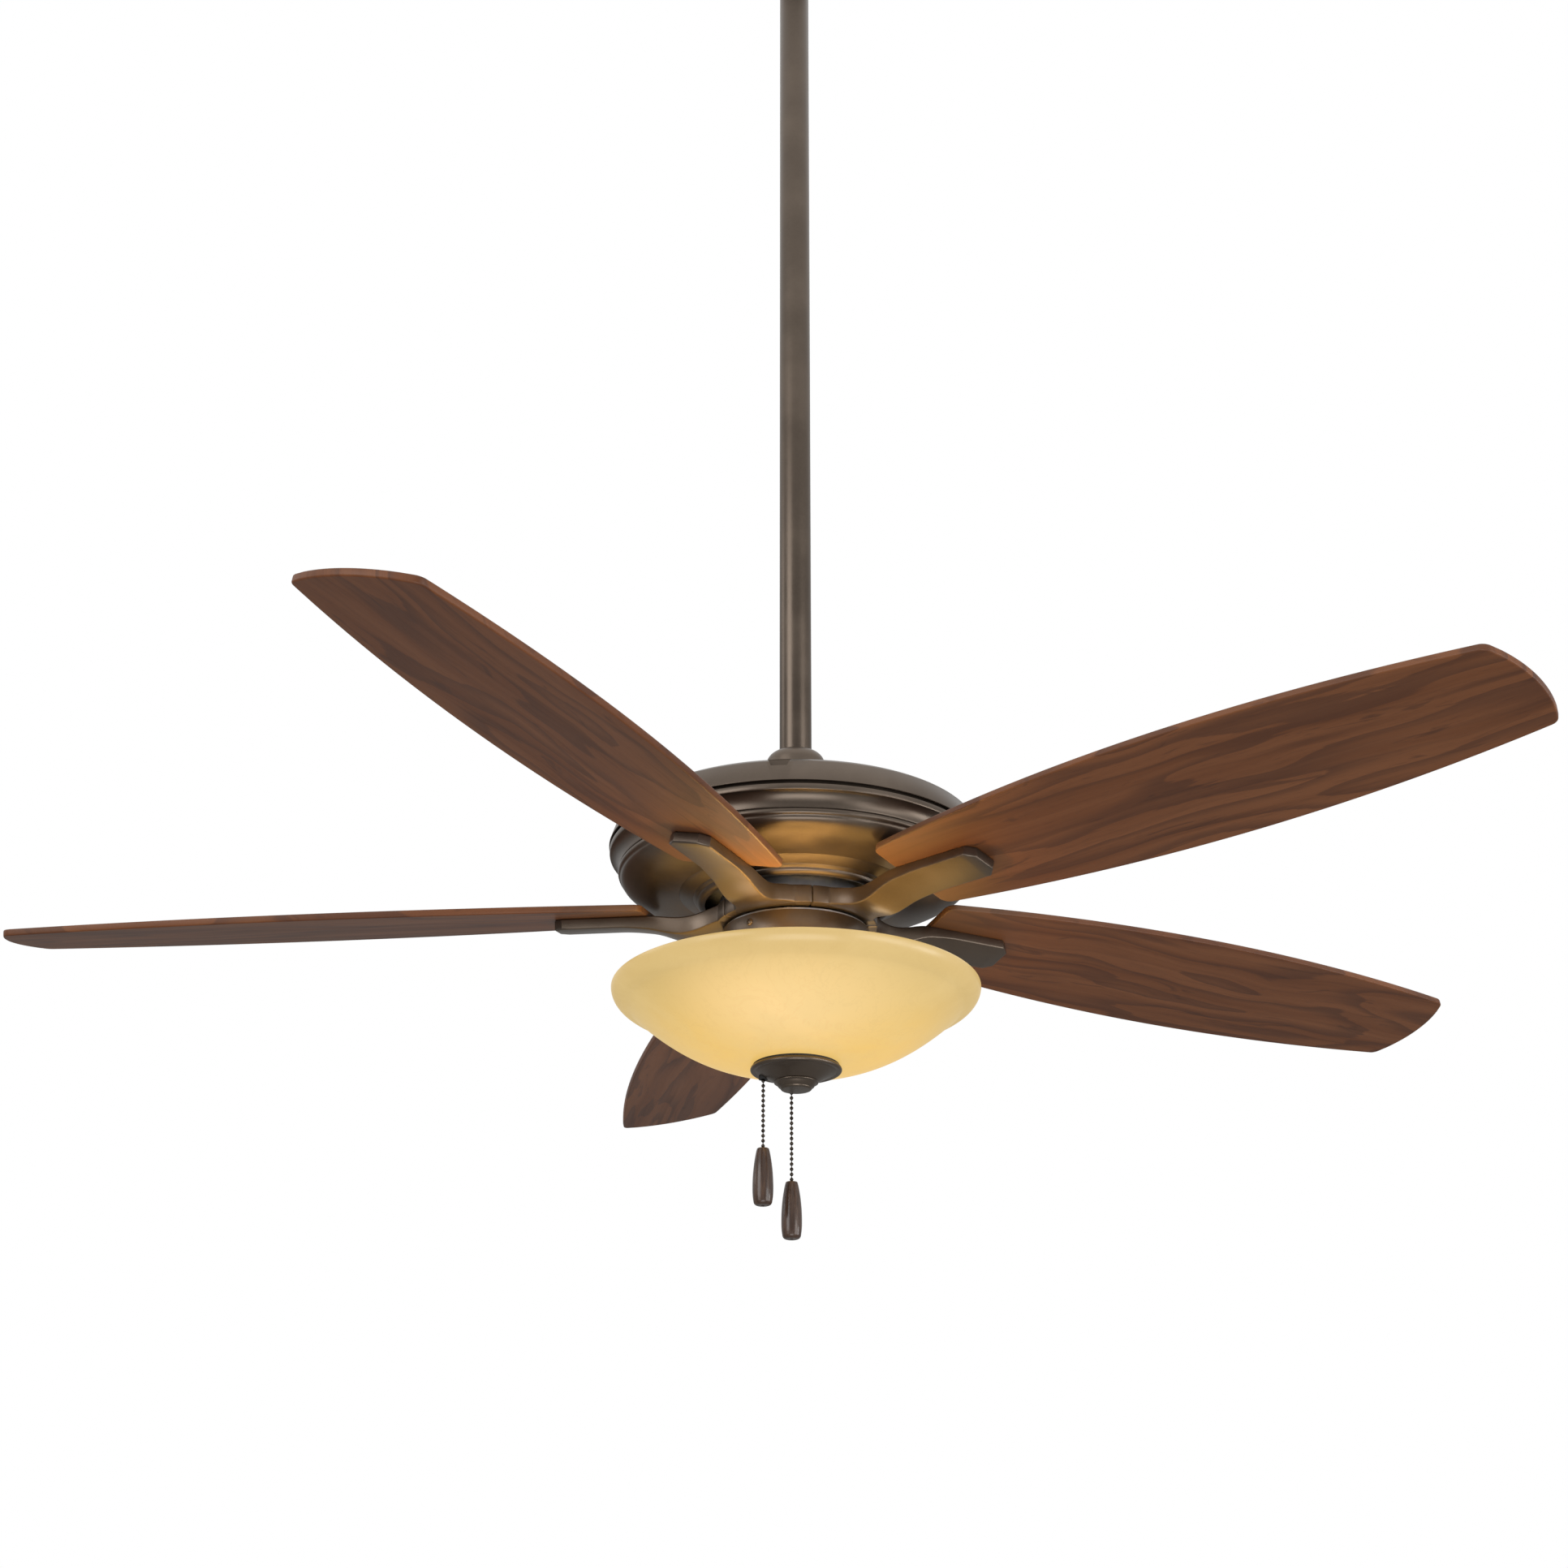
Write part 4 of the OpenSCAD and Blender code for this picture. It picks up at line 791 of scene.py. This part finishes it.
class FAN_OT_studio(bpy.types.Operator):
    """Make the camera, the soft lights, the bulbs' light and the floor"""
    bl_idname = "fan.studio"
    bl_label = "Studio"

    def execute(self, context):
        studio = context.scene.fan_studio
        self.make_camera(context, studio)
        for name, x, y, z, size, share in (("key_left", -2.2, -2.4, HUB + 0.5, 1.8, 1.0),
                                           ("key_right", 2.4, -1.8, HUB - 0.3, 1.5, 0.75),
                                           ("low_front", 0.1, -2.0, HUB - 1.5, 1.6, 0.75),
                                           ("side_right", 2.4, -0.3, HUB - 0.35, 0.8, 0.32),
                                           ("side_left", -2.3, 0.3, HUB + 0.8, 0.8, 0.10)):
            self.make_soft_light(name, Vector((x, y, z)), size, studio.key * share)
        self.make_bowl_light("bowl_light", 0.26, (0, 0), studio.bulb)
        self.make_bowl_light("bulb_light", 0.05, (0, -0.1), studio.bulb * 4)
        start_clean()
        bpy.ops.mesh.primitive_plane_add(size=FLOOR_SIZE, location=(0, 0, -studio.floor))
        floor = named("floor")
        dark, light = (0.265, 0.265, 0.26), (0.285, 0.285, 0.28)
        floor.data.materials.append(mottled("floor_paint", dark, light, 1.5, 0.6, MM))
        self.make_sky(context)
        context.scene.view_settings.view_transform = "Standard"
        return {"FINISHED"}

    def make_camera(self, context, studio):
        bpy.ops.object.camera_add(location=(0, -studio.camera_back, HUB - studio.camera_drop))
        camera = context.object
        camera.name = "camera"
        camera.data.lens = studio.lens
        camera.rotation_euler = (math.pi / 2 + studio.camera_pitch, 0, studio.camera_yaw)
        context.scene.camera = camera

    def make_soft_light(self, name, place, size, power):
        bpy.ops.object.light_add(type="AREA", location=place)
        light = bpy.context.object
        light.name = name
        light.data.size = size
        light.data.energy = power
        light.rotation_euler = (Vector((0, 0, HUB)) - place).to_track_quat("-Z", "Y").to_euler()

    def make_bowl_light(self, name, size, place, power):
        """Light that rises out of the open bowl, and swings with the fan."""
        bpy.ops.object.light_add(type="AREA", location=(*place, BOWL_HIGH.z - 6 * MM))
        light = bpy.context.object
        light.name = name
        light.data.shape = "DISK"
        light.data.size = size
        light.data.color = (1.0, 0.60, 0.18)
        light.data.energy = power
        light.rotation_euler = (math.pi, 0, 0)
        light.visible_camera = False
        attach(light, "fan_frame")

    def make_sky(self, context):
        """A white backdrop that lights the fan a little less than it shows."""
        world = context.scene.world or bpy.data.worlds.new("studio")
        context.scene.world = world
        world.use_nodes = True
        nodes, links = world.node_tree.nodes, world.node_tree.links
        nodes.clear()
        place = nodes.new("ShaderNodeTexCoord")
        split = nodes.new("ShaderNodeSeparateXYZ")
        ramp = nodes.new("ShaderNodeValToRGB")
        while len(ramp.color_ramp.elements) < 4:
            ramp.color_ramp.elements.new(0.5)
        stops = ((0.0, 0.10), (0.47, 0.26), (0.67, 0.80), (0.95, 1.45))
        for element, (position, grey) in zip(ramp.color_ramp.elements, stops):
            element.position = position
            element.color = (grey, grey, grey, 1.0)
        seen = nodes.new("ShaderNodeBackground")
        lighting = nodes.new("ShaderNodeBackground")
        lighting.inputs["Strength"].default_value = 0.75
        path = nodes.new("ShaderNodeLightPath")
        mix = nodes.new("ShaderNodeMixShader")
        output = nodes.new("ShaderNodeOutputWorld")
        seen.inputs["Color"].default_value = (1.0, 1.0, 1.0, 1.0)
        links.new(place.outputs["Generated"], split.inputs[0])
        half = nodes.new("ShaderNodeMapRange")
        half.inputs["From Min"].default_value = -1.0
        links.new(split.outputs["Z"], half.inputs["Value"])
        links.new(half.outputs[0], ramp.inputs[0])
        links.new(ramp.outputs["Color"], lighting.inputs["Color"])
        links.new(path.outputs["Is Camera Ray"], mix.inputs[0])
        links.new(lighting.outputs[0], mix.inputs[1])
        links.new(seen.outputs[0], mix.inputs[2])
        links.new(mix.outputs[0], output.inputs[0])


class FAN_OT_pull_chains(bpy.types.Operator):
    """Hang the two bead chains, each with its turned fob"""
    bl_idname = "fan.pull_chains"
    bl_label = "Pull chains"

    def execute(self, context):
        sizes = context.scene.fan_chains
        for kind, full in (("fan", sizes.fan), ("light", sizes.light)):
            chain_node, body = f"{kind}_chain", f"{kind}_pull"
            x, y = middle_of(chain_node)
            exit_point = Vector((x, y, CHAIN_TOPS[chain_node]))
            beads = self.bead_chain(f"{kind}_bead_chain", exit_point, full)
            finish_piece(beads, body, "chain_metal", chain_node)
            inner_low, inner_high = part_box(f"{chain_node}_inner")
            inner = self.bead_chain(f"{kind}_bead_chain_inside", Vector((x, y, inner_high.z)),
                                    inner_high.z - inner_low.z)
            finish_piece(inner, body, "chain_metal", f"{chain_node}_inner")
            fob = self.turned_fob(f"{kind}_turned_fob", Vector((x, y, exit_point.z - full)))
            finish_piece(fob, body, "fob_wood", f"{kind}_fob",
                         finishes=(fob_wood(), plain("chain_metal")))
        return {"FINISHED"}

    def bead_chain(self, name, top, full):
        """Beads on a thin wire: one link is spun, and an array repeats it down the chain."""
        sizes = bpy.context.scene.fan_chains
        count = max(2, round(full / sizes.pitch))
        pitch = full / count
        bead, wire = sizes.diameter / 2, 0.42 * MM
        foot = math.degrees(math.asin(wire / bead))
        link = [(wire, 0.0)] + arc(0.0, -pitch / 2, bead, bead, 90 - foot, foot - 90, 8) + [(wire, -pitch)]
        piece = drawn(name, [(r, 0.0, z) for r, z in link])
        spin_round(12)
        settle(piece)
        array = piece.modifiers.new("links", "ARRAY")
        array.use_relative_offset = False
        array.use_constant_offset = True
        array.constant_offset_displace = (0, 0, -pitch)
        array.count = count
        bpy.ops.object.modifier_apply(modifier=array.name)
        edit_all()
        bpy.ops.mesh.remove_doubles(threshold=0.01 * MM)
        bpy.ops.mesh.fill_holes(sides=0)
        bpy.ops.mesh.select_all(action="SELECT")
        bpy.ops.mesh.normals_make_consistent(inside=False)
        settle(piece, location=top)
        return smooth(piece, 60)

    def turned_fob(self, name, top):
        piece = spun(name, fob_outline(), steps=40, height=0.0, ring=False)
        full = bpy.context.scene.fan_chains.fob
        second_finish(piece, lambda face: face.center.z > -0.95 * MM or face.center.z < -0.968 * full)
        return settle(piece, location=top)


class FAN_OT_hanger(bpy.types.Operator):
    """Spin the canopy, the downrod and the coupling cover"""
    bl_idname = "fan.hanger"
    bl_label = "Canopy and downrod"

    def execute(self, context):
        sheet = context.scene.fan_housing.sheet
        canopy = spun("canopy_shell", closed_wall(canopy_outline, sheet), height=0.0)
        for side in (-1, 1):
            hole = round_cutter(2.1 * MM, 12 * MM, (0, 0, 0))
            settle(hole, location=(side * CANOPY_HIGH.x, 0, -9 * MM), rotation=(0, math.pi / 2, 0))
            combine(canopy, hole, "DIFFERENCE")
        finish_piece(smooth(canopy), "ceiling_mount", "bronze", "canopy")
        rod, wall = width_of("downrod") / 2, 2.8 * MM
        tube = [(rod, ROD_LOW.z), (rod, ROD_HIGH.z), (rod - wall, ROD_HIGH.z), (rod - wall, ROD_LOW.z)]
        downrod = spun("downrod_tube", tube, steps=72, edge=0.5 * MM, height=0.0)
        finish_piece(downrod, "fan_frame", "bronze", "downrod")
        cover = spun("coupling_cover_spun", closed_wall(cover_outline, sheet), edge=0.3 * MM)
        finish_piece(cover, "fan_frame", "bronze", "coupling_cover")
        return {"FINISHED"}


class FAN_OT_housing(bpy.types.Operator):
    """Spin the two halves of the motor housing and cut the vents under the rim"""
    bl_idname = "fan.housing"
    bl_label = "Motor housing"

    def execute(self, context):
        sizes = context.scene.fan_housing
        upper = spun("housing_top_cover", closed_wall(upper_outline, sizes.sheet), steps=160,
                     edge=0.35 * MM)
        for number in range(VENTS):
            body = spun("body", upper_outline(0.0) + [(sizes.hole, sizes.joint + 0.6 * MM)], steps=160)
            combine(upper, combine(self.vent(sizes, number, sizes.sheet), body, "INTERSECT"), "UNION")
            combine(upper, self.vent(sizes, number), "DIFFERENCE")
        finish_piece(smooth(upper), "fan_frame", "bronze", "housing_upper")
        lower = spun("housing_bowl_cover", closed_wall(lower_outline, sizes.sheet), steps=160,
                     edge=0.25 * MM)
        finish_piece(lower, "fan_frame", "bronze", "housing_lower")
        return {"FINISHED"}

    def vent(self, sizes, number, wall=0.0):
        """A block with sloping sides that cuts a notch in the shoulder, or, a wall larger, makes its pocket."""
        size = (16 * MM + wall, 19.5 * MM + 2.6 * wall, 9 * MM + 2 * wall)
        notch = block("vent", size, (sizes.radius - 7 * MM - wall / 2, 0, HOUSING_TOP - 16 * MM))
        edit_all()
        choose_faces(notch, lambda face: face.normal.z < -0.9)
        bpy.ops.transform.resize(value=(1, 0.64, 1))
        return settle(notch, rotation=(0, 0, math.radians(FIRST_VENT + 360 / VENTS * number)))


class FAN_OT_irons(bpy.types.Operator):
    """Model one blade iron, with its share of the hub ring, and copy it round the hub"""
    bl_idname = "fan.irons"
    bl_label = "Blade irons"

    def execute(self, context):
        sizes = context.scene.fan_blades
        iron = combine(self.ring_share(sizes), self.arm(sizes), "UNION")
        for side in (-1, 1):
            reach, turn = (sizes.ring + sizes.ring_bore) / 2, math.radians(17 * side)
            place = (reach * math.cos(turn), reach * math.sin(turn), -sizes.ring_height)
            combine(iron, round_cutter(3.8 * MM, 7 * MM, place), "DIFFERENCE")
        copies = [duplicate(iron, f"iron_{number + 1}") for number in range(sizes.count)]
        bpy.data.objects.remove(iron)
        for number, copy in enumerate(copies):
            smooth(settle(copy, location=(0, 0, HUB), rotation=(0, 0, turn_of(sizes, number))), 36)
            # The second finish, the near-black cast_collar, is painted shade on the hub ring's underside.
            finish_piece(copy, "rotor", "bronze", f"blade_iron_{number + 1}",
                         finishes=(bronze(), plain("cast_collar")))
        return {"FINISHED"}

    def ring_share(self, sizes):
        """A flat ring's sector, spun from its cross-section."""
        half = math.pi / sizes.count - 0.35 * MM / sizes.ring
        start_clean()
        middle = (sizes.ring + sizes.ring_bore) / 2
        bpy.ops.mesh.primitive_plane_add(size=1, location=(middle, 0, -sizes.ring_height / 2),
                                         rotation=(math.pi / 2, 0, 0))
        bpy.ops.transform.resize(value=(sizes.ring - sizes.ring_bore, 1, sizes.ring_height))
        piece = applied("ring_share")
        edit_all()
        spin_round(20, 2 * half)
        mesh = bmesh.from_edit_mesh(piece.data)
        start = sum(math.atan2(v.co.y, v.co.x) for v in mesh.verts) / len(mesh.verts)
        settle(piece, rotation=(0, 0, -start))
        soften_edges(piece, 0.8 * MM, 50, 2)
        # The ring's downward faces get the near-black second finish. This is painted shade for the dark gap between
        # the irons and the switch cup.
        second_finish(piece, lambda face: face.normal.z < -0.9)
        return piece

    def arm(self, sizes):
        """The arm's cross-section, extruded outwards: it dips, thins and takes up the blades' pitch."""
        start, last = sizes.ring - 9 * MM, sizes.iron_tip - 7 * MM
        steps = 30
        stations = spread(start, last, steps) + [sizes.iron_tip]
        bpy.ops.object.select_all(action="DESELECT")
        bpy.ops.mesh.primitive_plane_add(size=1, rotation=(0, math.pi / 2, 0))
        piece = applied("arm")
        edit_all()
        old = (0.0, 0.0, 0.0, 1.0, 1.0)
        bpy.ops.transform.translate(value=(0, 0, -0.5))
        for number, s in enumerate(stations):
            new = self.section(sizes, s, number > steps)
            step = Vector((new[0] - old[0], 0, old[1] - new[1]))
            if number:
                bpy.ops.mesh.extrude_region_move(TRANSFORM_OT_translate={"value": step})
            else:
                bpy.ops.transform.translate(value=step)
            centre = (new[0], 0, -new[1])
            self.turn(old[2], centre)
            bpy.ops.transform.resize(value=(1, new[3] / old[3], new[4] / old[4]), center_override=centre)
            self.turn(-new[2], centre)
            old = new
        close_up()
        bpy.ops.object.mode_set(mode="OBJECT")
        return soften_edges(piece, 1.5 * MM, 50, 3)

    def section(self, sizes, s, chamfered):
        """Distance, dip, pitch, width and thickness of the arm at a distance from the axis."""
        start = sizes.ring - 9 * MM
        pitch = sizes.pitch * eased((s - sizes.ring) / (sizes.root - 4 * MM - sizes.ring))
        dip = sizes.dip * math.sin(math.pi * max(0.0, min(1.0, (s - start) / (sizes.root - start)))) ** 2
        flare = 23 * MM * max(0.0, 1 - (s - start) / (28 * MM)) ** 2
        thin = eased((s - sizes.ring - 20 * MM) / (sizes.root + 6 * MM - sizes.ring))
        thick = sizes.ring_height + (sizes.iron_thickness - sizes.ring_height) * thin
        width = sizes.iron_width - 14 * MM if chamfered else sizes.iron_width + flare
        return s, dip, pitch, width, thick

    def turn(self, angle, centre):
        """Turns the selection about X. Without a window the operator turns the other way."""
        bpy.ops.transform.rotate(value=-angle, orient_axis="X", center_override=centre)


class FAN_OT_blades(bpy.types.Operator):
    """Cut one blade to its outline, round its edges, and copy it onto each iron"""
    bl_idname = "fan.blades"
    bl_label = "Blades"

    def execute(self, context):
        sizes = context.scene.fan_blades
        board = self.board(sizes)
        copies = [duplicate(board, f"blade_board_{number + 1}") for number in range(sizes.count)]
        bpy.data.objects.remove(board)
        for number, copy in enumerate(copies):
            settle(copy, location=(0, 0, HUB), rotation=(-sizes.pitch, 0, turn_of(sizes, number)))
            finish_piece(copy, "rotor", "walnut", f"blade_{number + 1}",
                         finishes=(walnut(number), blade_edge()))
        return {"FINISHED"}

    def half_width(self, sizes, s):
        """Half of the blade's width at a distance from the fan's axis."""
        corner = sizes.tip - sizes.bulge
        widest = sizes.root + 0.51 * (sizes.tip - sizes.root)
        end, end_width = (sizes.root, sizes.root_width) if s < widest else (corner, sizes.tip_width)
        share = (s - widest) / (end - widest)
        return (sizes.width - (sizes.width - end_width) * share * share) / 2

    def rounded_corner(self, before, corner, after, radius, steps=8):
        """Points of the arc that rounds a corner of a flat outline."""
        u, v = (before - corner).normalized(), (after - corner).normalized()
        half = u.angle(v) / 2
        centre = corner + (u + v).normalized() * radius / math.sin(half)
        first, final = corner + u * radius / math.tan(half) - centre, corner + v * radius / math.tan(half) - centre
        start = math.atan2(first.y, first.x)
        sweep = (math.atan2(final.y, final.x) - start + math.pi) % math.tau - math.pi
        return [centre + radius * Vector((math.cos(start + sweep * k / steps), math.sin(start + sweep * k / steps)))
                for k in range(steps + 1)]

    def side(self, sizes):
        """One long edge with its two rounded corners and half of the tip."""
        corner, rounding = sizes.tip - sizes.bulge, 9 * MM
        half = sizes.tip_width / 2
        tip_radius = (half ** 2 + sizes.bulge ** 2) / (2 * sizes.bulge)
        tip_angle = math.degrees(math.asin(half / tip_radius))
        first, last, steps = sizes.root + 1.6 * rounding, corner - 1.6 * rounding, 30
        edge = [Vector((s, self.half_width(sizes, s))) for s in spread(first, last, steps)]
        end = [Vector(p) for p in arc(sizes.tip - tip_radius, 0, tip_radius, tip_radius, tip_angle * 0.72, 0, 8)]
        root = Vector((sizes.root, self.half_width(sizes, sizes.root)))
        return (self.rounded_corner(Vector((sizes.root, 0)), root, edge[0], rounding) + edge
                + self.rounded_corner(edge[-1], Vector((corner, half)), end[0], rounding) + end)

    def board(self, sizes):
        side = self.side(sizes)
        outline = side + [Vector((p.x, -p.y)) for p in side[-2::-1]]
        piece = drawn("board", [(p.x, p.y, 0.0) for p in outline + outline[:1]])
        bpy.ops.mesh.select_all(action="SELECT")
        bpy.ops.mesh.remove_doubles(threshold=MERGE)
        bpy.ops.mesh.edge_face_add()
        bpy.ops.mesh.extrude_region_move(TRANSFORM_OT_translate={"value": (0, 0, sizes.thickness)})
        close_up()
        bpy.ops.mesh.select_mode(type="EDGE")
        bpy.ops.mesh.select_all(action="DESELECT")
        bpy.ops.mesh.edges_select_sharp(sharpness=math.radians(60))
        bpy.ops.mesh.bevel(offset=1.3 * MM, segments=4)
        choose_faces(piece, lambda face: abs(face.normal.z) > 0.999)
        bpy.ops.mesh.inset(thickness=0.9 * MM)
        settle(piece)
        smooth(piece, 50)
        second_finish(piece, lambda face: face.area < 0.01)
        return piece


class FAN_OT_screws(bpy.types.Operator):
    """Set the domed screw heads in the cup, the blades and the canopy"""
    bl_idname = "fan.screws"
    bl_label = "Screws"

    def execute(self, context):
        blades = context.scene.fan_blades
        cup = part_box("switch_cup")[1].x
        cup_places = [((cup + 0.1 * MM, 0, CUP_HIGH.z - 6.8 * MM), CUP_SCREW_AZIMUTH + 120 * k)
                      for k in range(3)]
        heads = [self.radial_head(*place, 3.0 * MM) for place in cup_places]
        finish_piece(joined("cup_screw_heads", heads), "fan_frame", "bronze", "cup_screws")
        heads = [self.blade_head(blades, number, place) for number in range(blades.count)
                 for place in ((139 * MM, 0), (176 * MM, -9 * MM), (176 * MM, 9 * MM))]
        finish_piece(joined("blade_screw_heads", heads), "rotor", "bronze", "blade_screws")
        heads = [self.radial_head((CANOPY_HIGH.x, 0, -9 * MM), azimuth, 3.6 * MM) for azimuth in (0, 180)]
        finish_piece(joined("canopy_screw_heads", heads), "ceiling_mount", "bronze", "canopy_screws")
        return {"FINISHED"}

    def head(self, radius, shank):
        """A domed head with a cross recess, on a short plain shank, pointing up from the origin."""
        height = radius * 0.62
        dome = [(0.0, -shank), (0.55 * radius, -shank), (0.55 * radius, 0.0), (radius, 0.0)] + arc(
            0.0, 0.0, radius, height, 8, 90, 8)
        piece = spun("screw_head", dome, steps=28, height=0.0, ring=False)
        for turn in (0, math.pi / 2):
            slot = block("slot", (radius * 1.15, radius * 0.26, height), (0, 0, height * 0.95), (0, 0, turn))
            combine(piece, slot, "DIFFERENCE")
        return smooth(piece, 40)

    def radial_head(self, place, azimuth, radius):
        """A head that faces outwards from the fan's axis."""
        turn = math.radians(azimuth)
        head = self.head(radius, 4 * MM)
        settle(head, rotation=(0, math.pi / 2, 0))
        settle(head, rotation=(0, 0, turn))
        return settle(head, location=Matrix.Rotation(turn, 3, "Z") @ Vector(place))

    def blade_head(self, sizes, number, place):
        """A head on the blade's upper face, pitched and turned with its blade."""
        head = self.head(4.6 * MM, 5 * MM)
        settle(head, location=(*place, sizes.thickness))
        return settle(head, location=(0, 0, HUB), rotation=(-sizes.pitch, 0, turn_of(sizes, number)))


class FAN_OT_light_kit(bpy.types.Operator):
    """Spin the switch cup, the glass bowl, the finial and the bulbs"""
    bl_idname = "fan.light_kit"
    bl_label = "Light kit"

    def execute(self, context):
        sizes = context.scene.fan_light
        cup = spun("switch_cup_spun", closed_wall(cup_outline, 1.2 * MM), steps=128, edge=0.3 * MM)
        combine(cup, self.reverse_slot(sizes), "DIFFERENCE")
        finish_piece(smooth(cup), "fan_frame", "bronze", "switch_cup")
        bowl = spun("alabaster_bowl", closed_wall(bowl_outline, sizes.glass), steps=160)
        finish_piece(bowl, "fan_frame", "alabaster_glass", "glass_bowl")
        plate = spun("finial_disc", finial_plate_outline(), steps=96, edge=0.2 * MM, height=FINIAL_HIGH.z)
        for kind in ("fan", "light"):
            place = (*middle_of(f"{kind}_chain"), FINIAL_LOW.z)
            combine(plate, round_cutter(3.7 * MM, 30 * MM, place), "DIFFERENCE")
        finish_piece(smooth(plate), "fan_frame", "bronze", "finial_plate")
        nut_low, nut_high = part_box("finial_nut")
        knob = spun("finial_knob", finial_nut_outline(nut_high.z - nut_low.z), steps=72, edge=0.25 * MM,
                    height=nut_high.z, ring=False)
        finish_piece(knob, "fan_frame", "bronze", "finial_nut")
        self.make_bulbs()
        return {"FINISHED"}

    def reverse_slot(self, sizes):
        low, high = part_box("reverse_slider")
        azimuth = math.radians(LEVER_AZIMUTH)
        reach = sizes.cup - 2 * MM
        middle = (low.z + high.z) / 2 + 3 * MM
        return block("slot", (12 * MM, 4.8 * MM, 11.8 * MM),
                     (reach * math.cos(azimuth), reach * math.sin(azimuth), middle), (0, 0, azimuth))

    def make_bulbs(self):
        low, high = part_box("lamp_sockets")
        lamp_height = low.z + 13 * MM
        bulbs = []
        for side in (0, 180):
            bulb = spun("bulb", bulb_outline(), steps=48, height=0.0, ring=False)
            settle(bulb, location=(0, 0, 30 * MM))
            settle(bulb, rotation=(0, math.pi / 2, math.radians(BULB_AZIMUTH + side)))
            bulbs.append(settle(bulb, location=(0, 0, lamp_height)))
        finish_piece(joined("round_bulbs", bulbs), "fan_frame", "bulb_glass", "bulbs")


class FAN_OT_kept_parts(bpy.types.Operator):
    """Finish the parts of the frame that show as they are"""
    bl_idname = "fan.kept_parts"
    bl_label = "Kept parts"

    def execute(self, context):
        slots = {part["node"]: part["material_slot"] for part in frame["record"]["subparts"]}
        for name, part in frame["nodes"].items():
            if not part.hide_render:
                part.data.materials.clear()
                part.data.materials.append(FINISHES[slots[name]]())
        return {"FINISHED"}


class FAN_PT_panel(bpy.types.Panel):
    """Lists the fan's sizes and the buttons that make its pieces"""
    bl_label = "Ceiling Fan"
    bl_idname = "FAN_PT_panel"
    bl_space_type = "VIEW_3D"
    bl_region_type = "UI"
    bl_category = "Ceiling Fan"

    def draw(self, context):
        for maker in MAKERS:
            self.layout.operator(maker.bl_idname)
        for name, group in GROUPS.items():
            box = self.layout.box()
            for key in group.__annotations__:
                box.prop(getattr(context.scene, name), key)


MAKERS = (FAN_OT_studio, FAN_OT_pull_chains, FAN_OT_hanger, FAN_OT_housing, FAN_OT_irons, FAN_OT_blades,
          FAN_OT_screws, FAN_OT_light_kit, FAN_OT_kept_parts)


def register():
    for group in GROUPS.values():
        bpy.utils.register_class(group)
    for name, group in GROUPS.items():
        setattr(bpy.types.Scene, name, PointerProperty(type=group))
    for maker in MAKERS:
        bpy.utils.register_class(maker)
    bpy.utils.register_class(FAN_PT_panel)


def unregister():
    bpy.utils.unregister_class(FAN_PT_panel)
    for maker in reversed(MAKERS):
        bpy.utils.unregister_class(maker)
    for name in GROUPS:
        delattr(bpy.types.Scene, name)
    for group in GROUPS.values():
        bpy.utils.unregister_class(group)


def main():
    register()
    for maker in MAKERS:
        getattr(bpy.ops.fan, maker.bl_idname.split(".")[1])()


if __name__ == "__main__":
    main()
